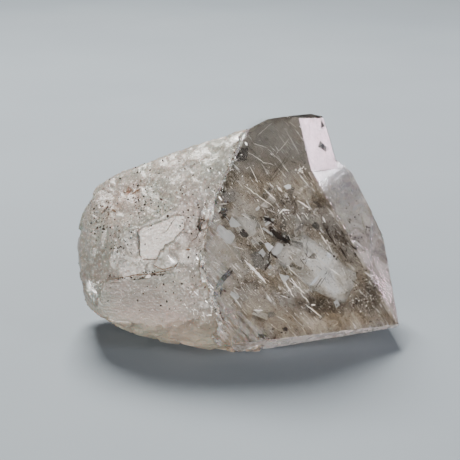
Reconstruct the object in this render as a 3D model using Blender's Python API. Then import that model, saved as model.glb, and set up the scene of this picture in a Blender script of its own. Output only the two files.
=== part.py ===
"""Quartz crystal: a clear, smoky faceted point that grades into a clouded, worn broken end.

One solid, as it grew. A flat-faced block is cut by the faces that a goniometer would list, a rounded
block for the clouded end is joined to it, and growth ledges, etch pits and shell-shaped chips are cut
into the joined body. A small flat underneath lets it stand.

A face is (bearing, rise, reach). The bearing is 0 for a face that looks at the viewer, 90 for one that
looks right and 180 for one at the back. The rise is its tilt above the horizon, both in degrees. The
reach is the distance from its block's middle to the face, in the same millimetres as all lengths here.
"""

import math

import bmesh
import bpy
from mathutils import Matrix, Vector, noise

# The driving dimension is the crystal's length from the clouded end to the tip, in metres. The lengths
# below are those of a crystal of DRAWN_LENGTH millimetres, and grow with it.
LENGTH = 0.072
DRAWN_LENGTH = 72.0
UNIT = LENGTH / DRAWN_LENGTH

CLEAR_MIDDLE = Vector((14.0, 3.0, 24.0))
CLEAR_FACES = {
    "front": (17, 12, 11.8),
    "shoulder_right": (106, 25, 17.5),
    "right": (96, 2, 20.1),
    "right_back": (128, 14, 18.0),
    "back": (172, 9, 17.0),
    "back_left": (-140, 14, 19.4),
    "back_upper": (165, 40, 22.5),
    "top": (115, 76, 25.9),
    "crown": (-147.5, 72.4, 25.6),
    "crown_left": (-125, 54, 23.4),
    "left_upper": (-63, 32, 26.8),
    "left_lower": (-49, -12, 29.3),
    "left_back": (-95, 10, 20.0),
    "lower_front": (17, -53, 24.8),
    "bottom_left": (-40, -55, 31.0),
    "under_right": (80, -83, 23.1),
    "under_back": (160, -52, 24.6),
}
# The head stands on a wider shoulder. What lies beyond a face of each is taken away.
HEAD_FACES = {"bright": (64, 16, 9.5), "head_edge": (88, 16.7, 11.8)}
SHOULDER_FACES = {"flank": (67.5, 29, 12.12), "shoulder_top": (111, 52, 17.7)}

CLOUDED_MIDDLE = Vector((-13.0, 1.0, 22.0))
CLOUDED_FACES = {
    "bottom_front": (-24, -63, 22.8),
    "bottom_left": (-52, -54, 23.6),
    "heel": (-67, -36, 25.6),
    "left": (-81, -5, 23.2),
    "left_upper": (-90, 18, 22.6),
    "left_crown": (-100, 44, 22.2),
    "crown": (-125, 66, 19.0),
    "crown_right": (-150, 73, 26.0),
    "brow": (-40, 50, 18.4),
    "front": (-6, 8, 17.6),
    "front_inner": (17, 12, 17.6),
    "front_left": (-46, 10, 20.6),
    "front_low": (-6, -32, 21.5),
    "inner": (90, 0, 19.0),
    "inner_top": (80, 50, 31.0),
    "back": (178, 4, 19.5),
    "back_left": (-134, 8, 21.0),
    "back_upper": (-170, 46, 19.0),
    "back_low": (-165, -38, 21.0),
    "foot": (0, -90, 23.0),
}
# The worn block's finish: how sharp its edges stay, and the height and spacing of its low lumps.
EDGE_SHARPNESS = 24.0
LUMP_HEIGHT = 0.55
LUMP_SPACING = 7.0
# Points nearer than this after a cut are one point.
WELD = 0.006
# Faces that meet at less than this angle, in radians, are one flat face.
FLAT_ANGLE = 0.004
# An icosphere of 5 subdivisions has 5120 faces, about 1.5 mm across on this block.
WORN_SUBDIVISIONS = 5

# Growth ledges on the clear faces: (face, heading, from, drop). The ledge drops by this much beyond a
# line square to the heading, this far from the face's foot. A heading of 0 is up the face, 90 its right.
LEDGES = (
    ("flank", 148, 11.0, 0.22),
    ("right_back", 12, 6.0, 0.45),
    ("right_back", 12, 9.5, 0.75),
    ("right_back", 176, 7.5, 0.40),
    ("back", 8, 3.5, 0.40),
    ("back", 8, 7.5, 0.80),
    ("back", 171, 9.0, 0.50),
    ("back_left", 20, 7.0, 0.45),
    ("back_left", 160, 6.0, 0.60),
    ("back_upper", -12, 3.5, 0.50),
    ("left_lower", 180, 8.0, 0.30),
)
# The clouded end broke along a crack, and the smooth break below it is this face: face, heading, from.
BREAK = ((-12, -3, 17.7), 168, 0.9)

# Flat-floored marks: (face, middle, outline, depth, floor), all drawn on the face as (right, up) from its
# foot. The floor is the share of the outline that its flat bottom keeps, so a small one makes a cone.
DIAMOND = ((-0.6, 1.5), (2.1, -0.6), (1.0, -1.5), (-2.3, 0.5))
TRIANGLE = ((0.0, 0.9), (0.8, -0.5), (-0.8, -0.5))
CLEAVED_PATCH = (
    (-6.6, 2.4), (-5.6, 3.5), (1.3, 6.2), (3.4, 6.2), (3.2, 3.7),
    (1.0, 0.8), (-0.9, -0.6), (-2.1, -3.0), (-5.4, -3.3), (-6.3, -1.4),
)
CLEAVED_FACE = (-8, 16, 17.9)
PITS = (
    ("bright", (1.75, 17.7), DIAMOND, 0.45, 0.35),
    ("bright", (4.5, 22.1), TRIANGLE, 0.30, 0.30),
    ("back", (-6.0, 2.0), DIAMOND, 0.55, 0.35),
    ("back", (2.5, -6.5), TRIANGLE, 0.50, 0.30),
    ("right_back", (1.5, -2.0), TRIANGLE, 0.50, 0.30),
    ("back_left", (-3.0, -1.0), DIAMOND, 0.50, 0.35),
)

# Shell-shaped chips: (place, bearing, rise, roll, width, height, depth). Each is the bite of a lumpy ball
# that would leave an outline of this width and height on a flat face. The roll turns it about its middle.
CHIPS = (
    ((-32.4, -10.1, 13.7), -60, -15, 20, 4.6, 6.5, 0.8),
    ((-6.2, -13.4, 33.4), -30, 12, -28, 2.6, 9.0, 0.4),
    ((0.6, -7.9, 48.4), -60, 40, 30, 3.0, 4.5, 0.5),
    ((22.2, 7.3, 39.3), 90, 40, 0, 3.0, 2.2, 0.5),
    ((29.5, 9.2, 29.7), 85, 25, 40, 3.4, 2.0, 0.5),
    ((33.1, 8.1, 22.9), 88, 20, 60, 2.6, 1.6, 0.4),
    ((13.0, -12.5, 2.2), 17, -60, 10, 4.0, 2.2, 0.5),
    ((-24.5, -5.6, 35.8), -60, 45, 20, 4.2, 3.0, 0.5),
    ((-11.0, 19.4, 31.0), 178, 30, 25, 22.0, 12.0, 1.5),
    ((10.0, 19.5, 7.0), 172, -24, -15, 17.0, 8.0, 1.3),
    ((-29.0, 12.0, 24.0), -122, 8, 40, 13.0, 20.0, 1.2),
    ((-16.0, 18.0, 8.0), -160, -30, 10, 19.0, 11.0, 1.3),
)
CHIP_SUBDIVISIONS = 3
CHIP_LUMP = 0.06

SMOKY_GREY = (0.62, 0.58, 0.54, 1.0)
QUARTZ_IOR = 1.544
POLISHED = 0.08


def direction(bearing, rise):
    """The unit vector that a face with this bearing and rise looks along."""
    across, up = math.radians(bearing), math.radians(rise)
    return Vector((math.sin(across) * math.cos(up), -math.cos(across) * math.cos(up), math.sin(up)))


def axes_of(face):
    """A face's right and up directions, as seen by someone who looks straight at it."""
    outward = direction(*face[:2])
    up = (Vector((0, 0, 1)) - outward * outward.z).normalized()
    return up.cross(outward), up, outward


def new_object(name, mesh_data):
    """A mesh object in the scene from a bmesh, which is freed."""
    mesh = bpy.data.meshes.new(name)
    mesh_data.to_mesh(mesh)
    mesh_data.free()
    piece = bpy.data.objects.new(name, mesh)
    bpy.context.scene.collection.objects.link(piece)
    return piece


def cut_block(name, middle, looks, keep_outside=False):
    """A block with flat faces: a large cube with everything outside each face cut away, or all inside.

    looks holds each face's outward direction and its reach."""
    block = bmesh.new()
    bmesh.ops.create_cube(block, size=3.0 * DRAWN_LENGTH, matrix=Matrix.Translation(middle))
    for outward, reach in looks:
        everything = block.verts[:] + block.edges[:] + block.faces[:]
        cut = bmesh.ops.bisect_plane(
            block,
            geom=everything,
            plane_co=middle + outward * reach,
            plane_no=outward,
            clear_outer=not keep_outside,
            clear_inner=keep_outside,
        )
        rim = [item for item in cut["geom_cut"] if isinstance(item, bmesh.types.BMEdge)]
        if rim:
            bmesh.ops.edgenet_fill(block, edges=rim)
    bmesh.ops.recalc_face_normals(block, faces=block.faces[:])
    return new_object(name, block)


def looks_of(faces):
    """Each face's outward direction and reach."""
    return [(direction(bearing, rise), reach) for bearing, rise, reach in faces]


def worn_block(name, middle, looks):
    """A block whose edges are worn round, with low lumps: each point lies where the faces nearly meet."""
    block = bmesh.new()
    bmesh.ops.create_icosphere(block, subdivisions=WORN_SUBDIVISIONS, radius=1.0)
    for vert in block.verts:
        out = vert.co.normalized()
        crowding = sum((max(0.0, look.dot(out)) / reach) ** EDGE_SHARPNESS for look, reach in looks)
        spot = out * crowding ** (-1.0 / EDGE_SHARPNESS)
        lump = noise.fractal(spot / LUMP_SPACING, 0.9, 2.1, 3)
        vert.co = middle + spot + out * lump * LUMP_HEIGHT
    return new_object(name, block)


def weld(mesh_data):
    """Closes up points and slivers that are nearer than WELD, so that the next cut meets clean faces."""
    bmesh.ops.remove_doubles(mesh_data, verts=mesh_data.verts[:], dist=WELD)
    bmesh.ops.dissolve_degenerate(mesh_data, edges=mesh_data.edges[:], dist=WELD)


def boolean(body, other, operation):
    """Joins or cuts body with other, and removes other."""
    modifier = body.modifiers.new(operation.title(), "BOOLEAN")
    modifier.operation = operation
    modifier.solver = "EXACT"
    modifier.object = other
    graph = bpy.context.evaluated_depsgraph_get()
    result = bpy.data.meshes.new_from_object(body.evaluated_get(graph))
    body.modifiers.clear()
    body.data = result
    bpy.data.objects.remove(other)
    cleaned = bmesh.new()
    cleaned.from_mesh(result)
    weld(cleaned)
    cleaned.to_mesh(result)
    cleaned.free()


def cut_shoulder(crystal):
    """Narrows the head above the shoulder, which leaves the inward edges between the two."""
    for head_face in looks_of(HEAD_FACES.values()):
        for shoulder_face in looks_of(SHOULDER_FACES.values()):
            notch = cut_block("notch", CLEAR_MIDDLE, (head_face, shoulder_face), keep_outside=True)
            boolean(crystal, notch, "DIFFERENCE")


def cut_ledges(crystal):
    """Lowers one side of a face by each ledge's drop."""
    faces = {**CLEAR_FACES, **HEAD_FACES, **SHOULDER_FACES}
    for name, heading, start, drop in LEDGES:
        right, up, outward = axes_of(faces[name])
        turn = math.radians(heading)
        across = up * math.cos(turn) + right * math.sin(turn)
        looks = ((outward, faces[name][2] - drop), (across, start))
        boolean(crystal, cut_block("ledge", CLEAR_MIDDLE, looks, keep_outside=True), "DIFFERENCE")


def marking_tool(face, middle, spot, outline, depth, floor):
    """A prism that stands on a face and reaches depth below it, where its outline shrinks to floor."""
    right, up, outward = axes_of(face)
    foot = middle + outward * face[2] + right * spot[0] + up * spot[1]
    head = depth + 3.0
    spread = 1.0 + (1.0 - floor) * 3.0 / depth if floor < 1.0 else 1.0
    tool = bmesh.new()
    rings = []
    for rise, share in ((-depth, floor), (head - depth, spread)):
        rings.append([tool.verts.new(foot + (right * x + up * y) * share + outward * rise) for x, y in outline])
    bmesh.ops.contextual_create(tool, geom=rings[0])
    bmesh.ops.contextual_create(tool, geom=rings[1])
    for i in range(len(outline)):
        j = (i + 1) % len(outline)
        tool.faces.new((rings[0][i], rings[0][j], rings[1][j], rings[1][i]))
    bmesh.ops.recalc_face_normals(tool, faces=tool.faces[:])
    return new_object("mark", tool)


def cut_marks(crystal):
    """Cuts the etch pits and the cleaved patch."""
    faces = {**CLEAR_FACES, **HEAD_FACES}
    for name, spot, outline, depth, floor in PITS:
        tool = marking_tool(faces[name], CLEAR_MIDDLE, spot, outline, depth, floor)
        boolean(crystal, tool, "DIFFERENCE")
    tool = marking_tool(CLEAVED_FACE, CLOUDED_MIDDLE, (0.0, 0.0), CLEAVED_PATCH, 0.85, 1.0)
    boolean(crystal, tool, "DIFFERENCE")


def chip_tool(place, bearing, rise, roll, width, height, depth):
    """A flattened, lumpy ball that bites this deep where its outline has this width and height."""
    right, up, outward = axes_of((bearing, rise))
    turn = math.radians(roll)
    wide = right * math.cos(turn) + up * math.sin(turn)
    tall = up * math.cos(turn) - right * math.sin(turn)
    # The ball's middle stands two depths out, so the face cuts it at two thirds of its own half-depth.
    half_depth = 3.0 * depth
    spread = 1.0 / math.sqrt(1.0 - (2.0 / 3.0) ** 2)
    ball = bmesh.new()
    bmesh.ops.create_icosphere(ball, subdivisions=CHIP_SUBDIVISIONS, radius=1.0)
    for vert in ball.verts:
        swell = 1.0 + CHIP_LUMP * noise.fractal(vert.co * 1.6 + Vector(place), 1.0, 2.0, 2)
        x, y, z = vert.co * swell
        flat = wide * x * width * spread / 2.0 + tall * y * height * spread / 2.0
        vert.co = Vector(place) + outward * 2.0 * depth + flat + outward * z * half_depth
    return new_object("chip", ball)


def cut_break(crystal):
    """Takes the clouded end back to the smooth break below its crack."""
    face, heading, start = BREAK
    right, up, outward = axes_of(face)
    turn = math.radians(heading)
    across = up * math.cos(turn) + right * math.sin(turn)
    looks = ((outward, face[2]), (across, start))
    boolean(crystal, cut_block("break", CLOUDED_MIDDLE, looks, keep_outside=True), "DIFFERENCE")


def cut_chips(crystal):
    """Bites a shell-shaped hollow at each chip's place."""
    for chip in CHIPS:
        boolean(crystal, chip_tool(*chip), "DIFFERENCE")


def stand_up(crystal):
    """Trims the underside flat, puts the origin below the middle of the box, and sets the real size."""
    body = bmesh.new()
    body.from_mesh(crystal.data)
    cut = bmesh.ops.bisect_plane(
        body,
        geom=body.verts[:] + body.edges[:] + body.faces[:],
        plane_co=(0, 0, 0),
        plane_no=(0, 0, -1),
        clear_outer=True,
    )
    rim = [item for item in cut["geom_cut"] if isinstance(item, bmesh.types.BMEdge)]
    bmesh.ops.edgenet_fill(body, edges=rim)
    weld(body)
    flat_edges = [edge for edge in body.edges if edge.is_manifold and edge.calc_face_angle() < FLAT_ANGLE]
    bmesh.ops.dissolve_limit(
        body, angle_limit=FLAT_ANGLE, use_dissolve_boundaries=False, verts=body.verts[:], edges=flat_edges
    )
    weld(body)
    bmesh.ops.triangulate(body, faces=body.faces[:])
    bmesh.ops.recalc_face_normals(body, faces=body.faces[:])
    middle = [
        (min(v.co[axis] for v in body.verts) + max(v.co[axis] for v in body.verts)) / 2 for axis in (0, 1)
    ]
    bmesh.ops.translate(body, verts=body.verts[:], vec=(-middle[0], -middle[1], 0.0))
    bmesh.ops.scale(body, verts=body.verts[:], vec=(UNIT, UNIT, UNIT))
    body.to_mesh(crystal.data)
    body.free()


def quartz_material():
    """Clear quartz with a little smoke in it."""
    material = bpy.data.materials.new("smoky_quartz")
    material.use_nodes = True
    surface = material.node_tree.nodes["Principled BSDF"]
    surface.inputs["Base Color"].default_value = SMOKY_GREY
    surface.inputs["Metallic"].default_value = 0.0
    surface.inputs["Roughness"].default_value = POLISHED
    surface.inputs["IOR"].default_value = QUARTZ_IOR
    surface.inputs["Transmission Weight"].default_value = 1.0
    return material


def build():
    for old in list(bpy.data.objects):
        bpy.data.objects.remove(old)
    crystal = cut_block("quartz_crystal", CLEAR_MIDDLE, looks_of(CLEAR_FACES.values()))
    cut_shoulder(crystal)
    cut_ledges(crystal)
    worn = worn_block("clouded_end", CLOUDED_MIDDLE, looks_of(CLOUDED_FACES.values()))
    boolean(crystal, worn, "UNION")
    cut_break(crystal)
    cut_marks(crystal)
    cut_chips(crystal)
    stand_up(crystal)
    crystal.data.materials.append(quartz_material())
    return crystal


build()
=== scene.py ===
"""Quartz crystal, dressed: clear and smoky at its faceted end, clouded and worn at the other.

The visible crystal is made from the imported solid's own surface, divided finely, worn and chipped. What
lies inside it is modelled too: cracks, flat cleavage plates, clouds of smoke, dust and dark grains.
"""

import math
import random

import bmesh
import bpy
from bpy.props import FloatProperty, FloatVectorProperty, IntProperty, PointerProperty
from mathutils import Matrix, Vector, noise
from mathutils.bvhtree import BVHTree


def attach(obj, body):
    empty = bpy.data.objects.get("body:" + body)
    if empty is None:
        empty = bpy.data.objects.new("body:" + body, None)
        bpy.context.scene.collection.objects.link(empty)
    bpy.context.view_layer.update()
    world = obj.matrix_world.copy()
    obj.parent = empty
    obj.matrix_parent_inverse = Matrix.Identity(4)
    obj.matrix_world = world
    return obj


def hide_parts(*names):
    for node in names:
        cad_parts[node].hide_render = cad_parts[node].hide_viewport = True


bl_info = {
    "name": "Quartz crystal",
    "version": (1, 0, 0),
    "blender": (4, 5, 0),
    "location": "View3D > Sidebar > Crystal",
    "description": "Dresses the solid of a quartz crystal: its surface, what is inside it, and its stage",
    "category": "Add Mesh",
}

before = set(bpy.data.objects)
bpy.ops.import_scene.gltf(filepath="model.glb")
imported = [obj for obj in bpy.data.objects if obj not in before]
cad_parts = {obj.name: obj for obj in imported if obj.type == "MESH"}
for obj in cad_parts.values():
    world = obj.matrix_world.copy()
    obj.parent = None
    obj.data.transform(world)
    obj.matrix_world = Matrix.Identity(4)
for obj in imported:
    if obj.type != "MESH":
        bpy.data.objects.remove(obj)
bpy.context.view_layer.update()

MM = 0.001
NODE = "quartz_crystal"
QUARTZ_IOR = 1.544

# The camera: how steeply it looks down in degrees, how far it stands from its target and where that is,
# in mm. The lens is for a 36 mm sensor.
VIEW_RISE = 18.0
VIEW_DISTANCE = 300.0
VIEW_TARGET = Vector((-1.73, -2.79, 25.0))
VIEW_LENS = 104.5

# The faces of the solid, as (bearing, rise, reach). The bearing is 0 for a face that looks along -Y, 90
# for +X and 180 for +Y. The rise is its tilt above the horizon, both in degrees. The reach is its
# distance in mm from the middle of the clear crystal.
CLEAR_MIDDLE = Vector((14.27, 0.21, 24.0))
CLEAR_FACES = {
    "front": (17, 12, 11.8),
    "shoulder_right": (106, 25, 17.5),
    "right": (96, 2, 20.1),
    "right_back": (128, 14, 18.0),
    "back": (172, 9, 17.0),
    "back_left": (-140, 14, 19.4),
    "back_upper": (165, 40, 22.5),
    "top": (115, 76, 25.9),
    "crown": (-147.5, 72.4, 25.6),
    "crown_left": (-125, 54, 23.4),
    "left_upper": (-63, 32, 26.8),
    "left_lower": (-49, -12, 29.3),
    "left_back": (-95, 10, 20.0),
    "lower_front": (17, -53, 24.8),
    "bottom_left": (-40, -55, 31.0),
    "under_right": (80, -83, 23.1),
    "under_back": (160, -52, 24.6),
    "foot": (0, -90, 24.0),
}
HEAD_FACES = {
    "bright": (64, 16, 9.5),
    "flank": (67.5, 29, 12.12),
    "head_edge": (88, 16.7, 11.8),
    "shoulder_top": (111, 52, 17.7),
}
# Two flat breaks of the clouded end, whose reach is from the middle of that end.
CLOUDED_MIDDLE = Vector((-12.73, -1.79, 22.0))
BREAK_FACES = {
    "patch": (-8, 16, 17.05),
    "broken": (-12, -3, 17.7),
}
# A face of the solid lies in one of these planes if the dot product of their directions is above the first
# value, and its height over the plane is between the other two, in mm.
SAME_DIRECTION = 0.9995
SAME_PLANE = (-1.2, 0.05)

# Seven halvings take the solid's longest edge, 39 mm, well under a millimetre.
DIVISIONS = 7

# How much faces are etched, from 0 for polished to 1 for frosted all over. The floors of the growth pits
# are called pit, and all that isn't flat is called worn.
ETCHED = {
    "bright": 0.80,
    "flank": 0.22,
    "head_edge": 0.50,
    "shoulder_top": 0.60,
    "shoulder_right": 0.60,
    "right": 0.95,
    "lower_front": 0.90,
    "bottom_left": 0.80,
    "left_lower": 0.35,
    "left_upper": 0.20,
    "crown_left": 0.30,
    "under_right": 0.80,
    "under_back": 0.60,
    "foot": 0.85,
    "pit": 0.90,
    "worn": 0.55,
}
# How rough the hidden faces are, which lets light in but no clear picture out.
ROUGH = {
    "lower_front": 0.3,
    "right": 0.7,
    "shoulder_right": 0.4,
    "right_back": 0.8,
    "back": 1.0,
    "back_left": 0.9,
    "back_upper": 0.8,
    "left_back": 0.9,
    "crown_left": 0.5,
    "under_right": 1.0,
    "under_back": 1.0,
    "foot": 1.0,
}
# How white the etched faces are, from 0 for beige to 1 for pinkish white. The bright face's pinkish white is
# partly a painted highlight.
WHITE_AND_HIGHLIGHT = {"bright": 1.0, "head_edge": 0.8, "lower_front": 0.2, "left_lower": 0.2}
WHITE_ELSEWHERE = 0.1
# The flank is white where it leaves the bright face, a painted highlight. Below that it and the faces round
# it have a dark
# crosshatch. Both are places in the front view, with how far each reaches, in mm.
WHITE_HIGHLIGHT_FADE = ((20.4, 13.2), 3.6)
HATCH = ((25.6, 11.2), 11.0)
HATCH_FACES = ("flank", "shoulder_top", "shoulder_right", "worn")
# How dark the crosshatch is, from 0 to 1. A growth pit has a mark above 1: rough all over, and dark all over
# with painted shade.
HATCH_MOST = 0.85
PIT_MARK = 4.0
# The growth pits in the bright face are crisp, and dark inside with painted shade: places, reaches and least
# depth, in mm.
PAINTED_SHADE_PITS = (((20.9, 18.8), 1.9), ((20.9, 23.5), 0.8))
PIT_FLOOR = 0.08

# Points of the solid nearer than this are one, in mm.
WELD = 0.002
# The longest edges of the veils behind a face and of those across the crystal, in mm.
VEIL_EDGE = 1.0
CROSSING_EDGE = 1.2
# Edges are chipped unless their faces look nearly the same way, by the dot product of their directions.
BLUNT_EDGE = 0.9
# How far apart chips and worn lumps are, in mm: the strong ones and the weaker, finer ones.
CHIP_SPACING = (1.6, 0.5)
LUMP_SPACING = (2.4, 0.9)
# The worn surface is broken into flat facets: their sizes in mm, with their slopes, and how far they may
# sink or stand out in all, in mm.
WORN_FACETS = ((4.6, 0.20), (1.9, 0.14))
WORN_LIMITS = (-0.45, 0.35)

# How far outside the clear crystal's faces the clouding starts and is complete, in mm. A thinner haze also
# creeps into the clear end: from the first of these places along X to the second, and under these heights.
# Low down it reaches further in, by this many mm.
CLOUDING_STARTS = 0.02
CLOUDING_DONE = 0.45
HAZE_ALONG = (-1.0, -8.0)
HAZE_HEIGHTS = (38.0, 30.0)
HAZE_LOW = (16.0, 5.0)
HAZE_SHIFT = 9.0
HAZE_MOST = 0.46

# What the front view shows inside the clear crystal. Every place is (right, up) in mm, measured in the
# plane of the camera's target from its middle, and every depth is in mm below the surface there.
# Bright cracks, whose film glows with painted light: their points, greatest width and depth.
BRIGHT_CRACKS = (
    (((3.1, -6.7), (5.2, -8.8), (8.2, -12.1)), 0.62, 1.2),
    (((10.4, 10.1), (11.8, 8.5)), 0.45, 1.4),
    (((3.1, 9.9), (6.8, 7.4), (10.3, 4.6)), 0.16, 1.5),
    (((7.5, 9.4), (10.3, 6.7)), 0.22, 1.8),
    (((11.0, 3.6), (11.9, 4.5), (13.4, 4.5)), 0.42, 1.0),
    (((15.1, 6.7), (16.6, 5.8), (18.2, 4.6)), 0.28, 1.4),
    (((11.0, -9.4), (12.4, -12.0), (14.4, -15.3)), 0.38, 1.8),
    (((22.2, -8.5), (24.9, -10.3)), 0.28, 1.0),
    (((15.5, -13.3), (17.6, -16.4), (20.7, -20.0)), 0.20, 2.2),
    (((9.2, -4.9), (12.8, -8.0), (16.4, -11.2)), 0.20, 2.0),
    (((16.8, -16.6), (20.7, -19.8)), 0.20, 1.8),
    (((9.9, 23.8), (11.7, 20.0), (14.8, 17.7)), 0.09, 2.5),
    (((13.0, 24.5), (15.1, 22.9)), 0.09, 2.5),
    (((5.2, -18.0), (7.4, -18.1)), 0.34, 1.6),
    (((18.2, -16.8), (19.2, -16.8)), 0.40, 1.8),
    (((-1.5, -20.0), (1.2, -21.5)), 0.30, 1.2),
    (((0.8, -14.8), (2.6, -17.6)), 0.25, 1.5),
    (((13.2, -11.0), (17.0, -14.4)), 0.30, 2.0),
    (((20.4, -1.0), (21.8, -3.2)), 0.30, 0.8),
    (((20.7, 3.1), (21.5, 1.6)), 0.35, 0.6),
    (((27.2, -2.0), (28.0, -3.1)), 0.35, 0.5),
    (((30.2, -9.4), (32.3, -10.8)), 0.25, 0.5),
    (((12.6, -3.6), (14.2, -6.6), (15.4, -9.6)), 0.12, 2.6),
    (((17.6, -3.2), (20.6, -7.2), (22.2, -8.6)), 0.14, 2.6),
    (((19.4, -7.4), (18.6, -10.8)), 0.10, 2.8),
    (((10.4, -3.4), (12.0, -5.0)), 0.20, 2.4),
    (((24.0, -11.4), (25.2, -15.4)), 0.10, 2.6),
    (((2.6, 3.6), (4.8, 2.2)), 0.16, 1.4),
    (((-2.4, 5.8), (-0.4, 5.9)), 0.12, 1.2),
    (((-3.6, 1.8), (-2.2, 2.4)), 0.20, 1.0),
    (((6.6, 1.4), (7.8, -1.6)), 0.14, 1.6),
    (((0.6, -3.6), (3.2, -4.4)), 0.14, 1.6),
    (((6.0, 21.0), (9.5, 24.2)), 0.05, 1.6),
    (((12.4, 22.6), (15.6, 16.8)), 0.06, 1.4),
    (((3.6, 17.8), (7.4, 15.2), (10.4, 14.6)), 0.07, 1.4),
    (((8.2, 18.6), (12.6, 14.2)), 0.05, 1.6),
    (((13.6, 20.8), (10.2, 17.0)), 0.05, 1.6),
    (((5.0, 19.6), (8.4, 18.4)), 0.06, 1.2),
    (((15.4, 14.8), (17.4, 11.0)), 0.08, 1.2),
    (((4.4, 14.4), (6.0, 11.2)), 0.10, 1.2),
    (((17.2, 20.2), (18.0, 15.8)), 0.05, 1.0),
)
# Dark cracks in the clear crystal, seen edge on.
DARK_CRACKS = (
    (((22.1, -9.0), (20.5, -11.1), (18.9, -13.3)), 0.24, 1.2),
    (((22.6, -9.2), (19.6, -13.2)), 0.12, 1.3),
    (((0.8, -8.8), (-1.4, -11.2), (-3.5, -13.6)), 0.80, 1.0),
    (((9.2, -5.4), (10.8, -6.4)), 0.45, 1.0),
    (((3.8, -3.4), (4.7, -3.6)), 0.35, 1.0),
    (((13.4, 17.7), (11.0, 14.2), (8.5, 10.8)), 0.16, 1.4),
    (((14.0, 17.4), (9.2, 10.6)), 0.14, 1.5),
    (((17.4, -1.2), (17.2, -6.0), (16.6, -9.6)), 0.12, 1.6),
    (((9.4, -6.6), (7.8, -9.0)), 0.50, 1.3),
    (((8.6, 0.4), (10.4, -0.9), (12.2, -2.0), (13.6, -3.2)), 0.85, 0.6),
    (((9.4, -0.6), (11.2, -1.9), (12.8, -2.4)), 0.70, 0.8),
    (((7.2, 3.1), (8.4, 2.5), (9.9, 1.5)), 0.62, 0.7),
    (((7.6, 2.2), (9.2, 2.4)), 0.55, 0.9),
    (((0.2, -8.4), (-1.8, -10.8), (-3.2, -12.6)), 0.50, 0.8),
    (((-0.9, 5.2), (-1.7, 3.0)), 0.70, 0.9),
    (((-2.2, 4.8), (-0.4, 4.4)), 0.45, 0.9),
    (((-2.4, 4.0), (-0.6, 3.4)), 0.55, 1.1),
    (((-1.9, 5.3), (-1.0, 2.6)), 0.50, 1.3),
    (((8.8, -4.2), (8.9, -6.0), (8.4, -7.2)), 0.30, 1.2),
    (((20.8, 1.8), (22.0, -0.8), (23.6, -3.4)), 0.30, 1.2),
    (((24.6, -3.8), (26.4, -6.6)), 0.35, 1.2),
    (((12.2, -21.8), (12.9, -22.8)), 0.70, 0.5),
    (((6.2, -23.4), (8.0, -24.4)), 0.70, 0.5),
    (((15.0, 7.4), (13.6, 5.4)), 0.18, 1.2),
    (((11.4, 6.9), (12.4, 5.6)), 0.40, 1.4),
    (((3.2, 19.6), (6.6, 16.4)), 0.10, 1.4),
    (((16.6, 22.4), (12.2, 16.0)), 0.10, 1.4),
    (((5.4, 22.8), (7.8, 19.2)), 0.10, 1.4),
)
# The clear window in the haze behind the front face.
WINDOW = (
    (9.0, -2.9), (17.1, -1.1), (28.3, -9.7), (27.9, -12.1), (25.8, -16.8), (18.0, -13.3), (14.4, -9.9),
    (9.2, -5.2),
)
# Flat cleavage plates: their corners, depth, and which finish they have.
PLATES = {
    "window": (WINDOW, 3.6, "white"),
    "window_small": (((-2.5, 1.3), (1.3, -1.2), (0.2, -3.5), (-3.4, -0.6)), 1.6, "pale"),
    "swirl": (((1.3, 2.7), (4.0, 3.1), (6.1, 1.8), (5.6, -1.1), (3.1, -1.8), (1.6, 0.0)), 2.6, "pale"),
    "slab": (((4.0, -4.5), (7.2, -4.0), (9.2, -6.3), (8.1, -9.4), (5.4, -8.1)), 2.0, "grey"),
    "square": (((-1.8, 8.3), (0.9, 8.8), (1.3, 6.3), (-1.3, 6.1)), 1.6, "grey"),
    "triangle": (((11.2, -9.9), (13.4, -10.3), (12.1, -12.2)), 1.6, "pale"),
    "crown_dark": (((0.9, 17.8), (4.2, 18.6), (3.8, 15.6), (1.0, 15.4)), 1.6, "dark"),
    "crown_pale": (((6.4, 23.6), (12.4, 24.4), (10.0, 18.8), (5.4, 19.2)), 3.2, "grey"),
    "crown_right": (((12.8, 21.0), (17.0, 20.4), (18.0, 15.2), (13.8, 15.8)), 2.8, "grey"),
}
# The finishes of plates: dark and pale tone, clearness, roughness and glow. The glow is painted light, and
# the white finish's pale blue-white paints the pale floor that the window shows.
FINISHES = {
    "white": ("#e2eaf5", "#ffffff", 0.26, 0.30, 0.11),
    "pale": ("#c9cccb", "#fbfcfd", 0.40, 0.30, 0.04),
    "grey": ("#aaa7a1", "#cfcbc4", 0.74, 0.25, 0.0),
    "dark": ("#4a4139", "#7b7268", 0.68, 0.25, 0.0),
}
# How far a plate's outline jags from side to side, in mm.
PLATE_JAG = 0.10
# How thick plates, cracks, flakes and the fillings of stained cracks are, in mm.
PLATE_THICKNESS = 0.08
CRACK_THICKNESS = 0.05
FLAKE_THICKNESS = 0.06
STAIN_THICKNESS = 0.12
# How common each finish is among the small shards: white, pale, grey and dark.
SHARD_SHARES = (1, 4, 5, 1)
# Where the shards are, how far they scatter, in mm, and their outline in half lengths and half widths.
SHARD_MIDDLE = (12.0, -2.0)
SHARD_SCATTER = 8.0
SHARD_OUTLINE = ((-1, -1), (0.2, -1), (1, -0.4), (0.7, 1), (-0.8, 0.7))
# Where the small slivers are, how far they scatter, and the least width of one, in mm. They run this many
# degrees above the right, give or take.
SLIVER_MIDDLE = (13.0, -3.0)
SLIVER_SCATTER = 9.0
SLIVER_WIDTH = 0.05
SLIVER_HEADING = (-45, 14)
# The way that streaks run across the front, in degrees above the right.
STREAK_HEADING = -50.0
# The front's top is calmer and greyer: where that starts and is complete, in mm up.
CALM_TOP = (11.0, 15.0)
# The front's left is milky: where that starts and is complete along the right, and under which heights.
MILKY_ACROSS = (5.0, -5.0)
MILKY_UP = (11.0, 4.0)
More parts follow.
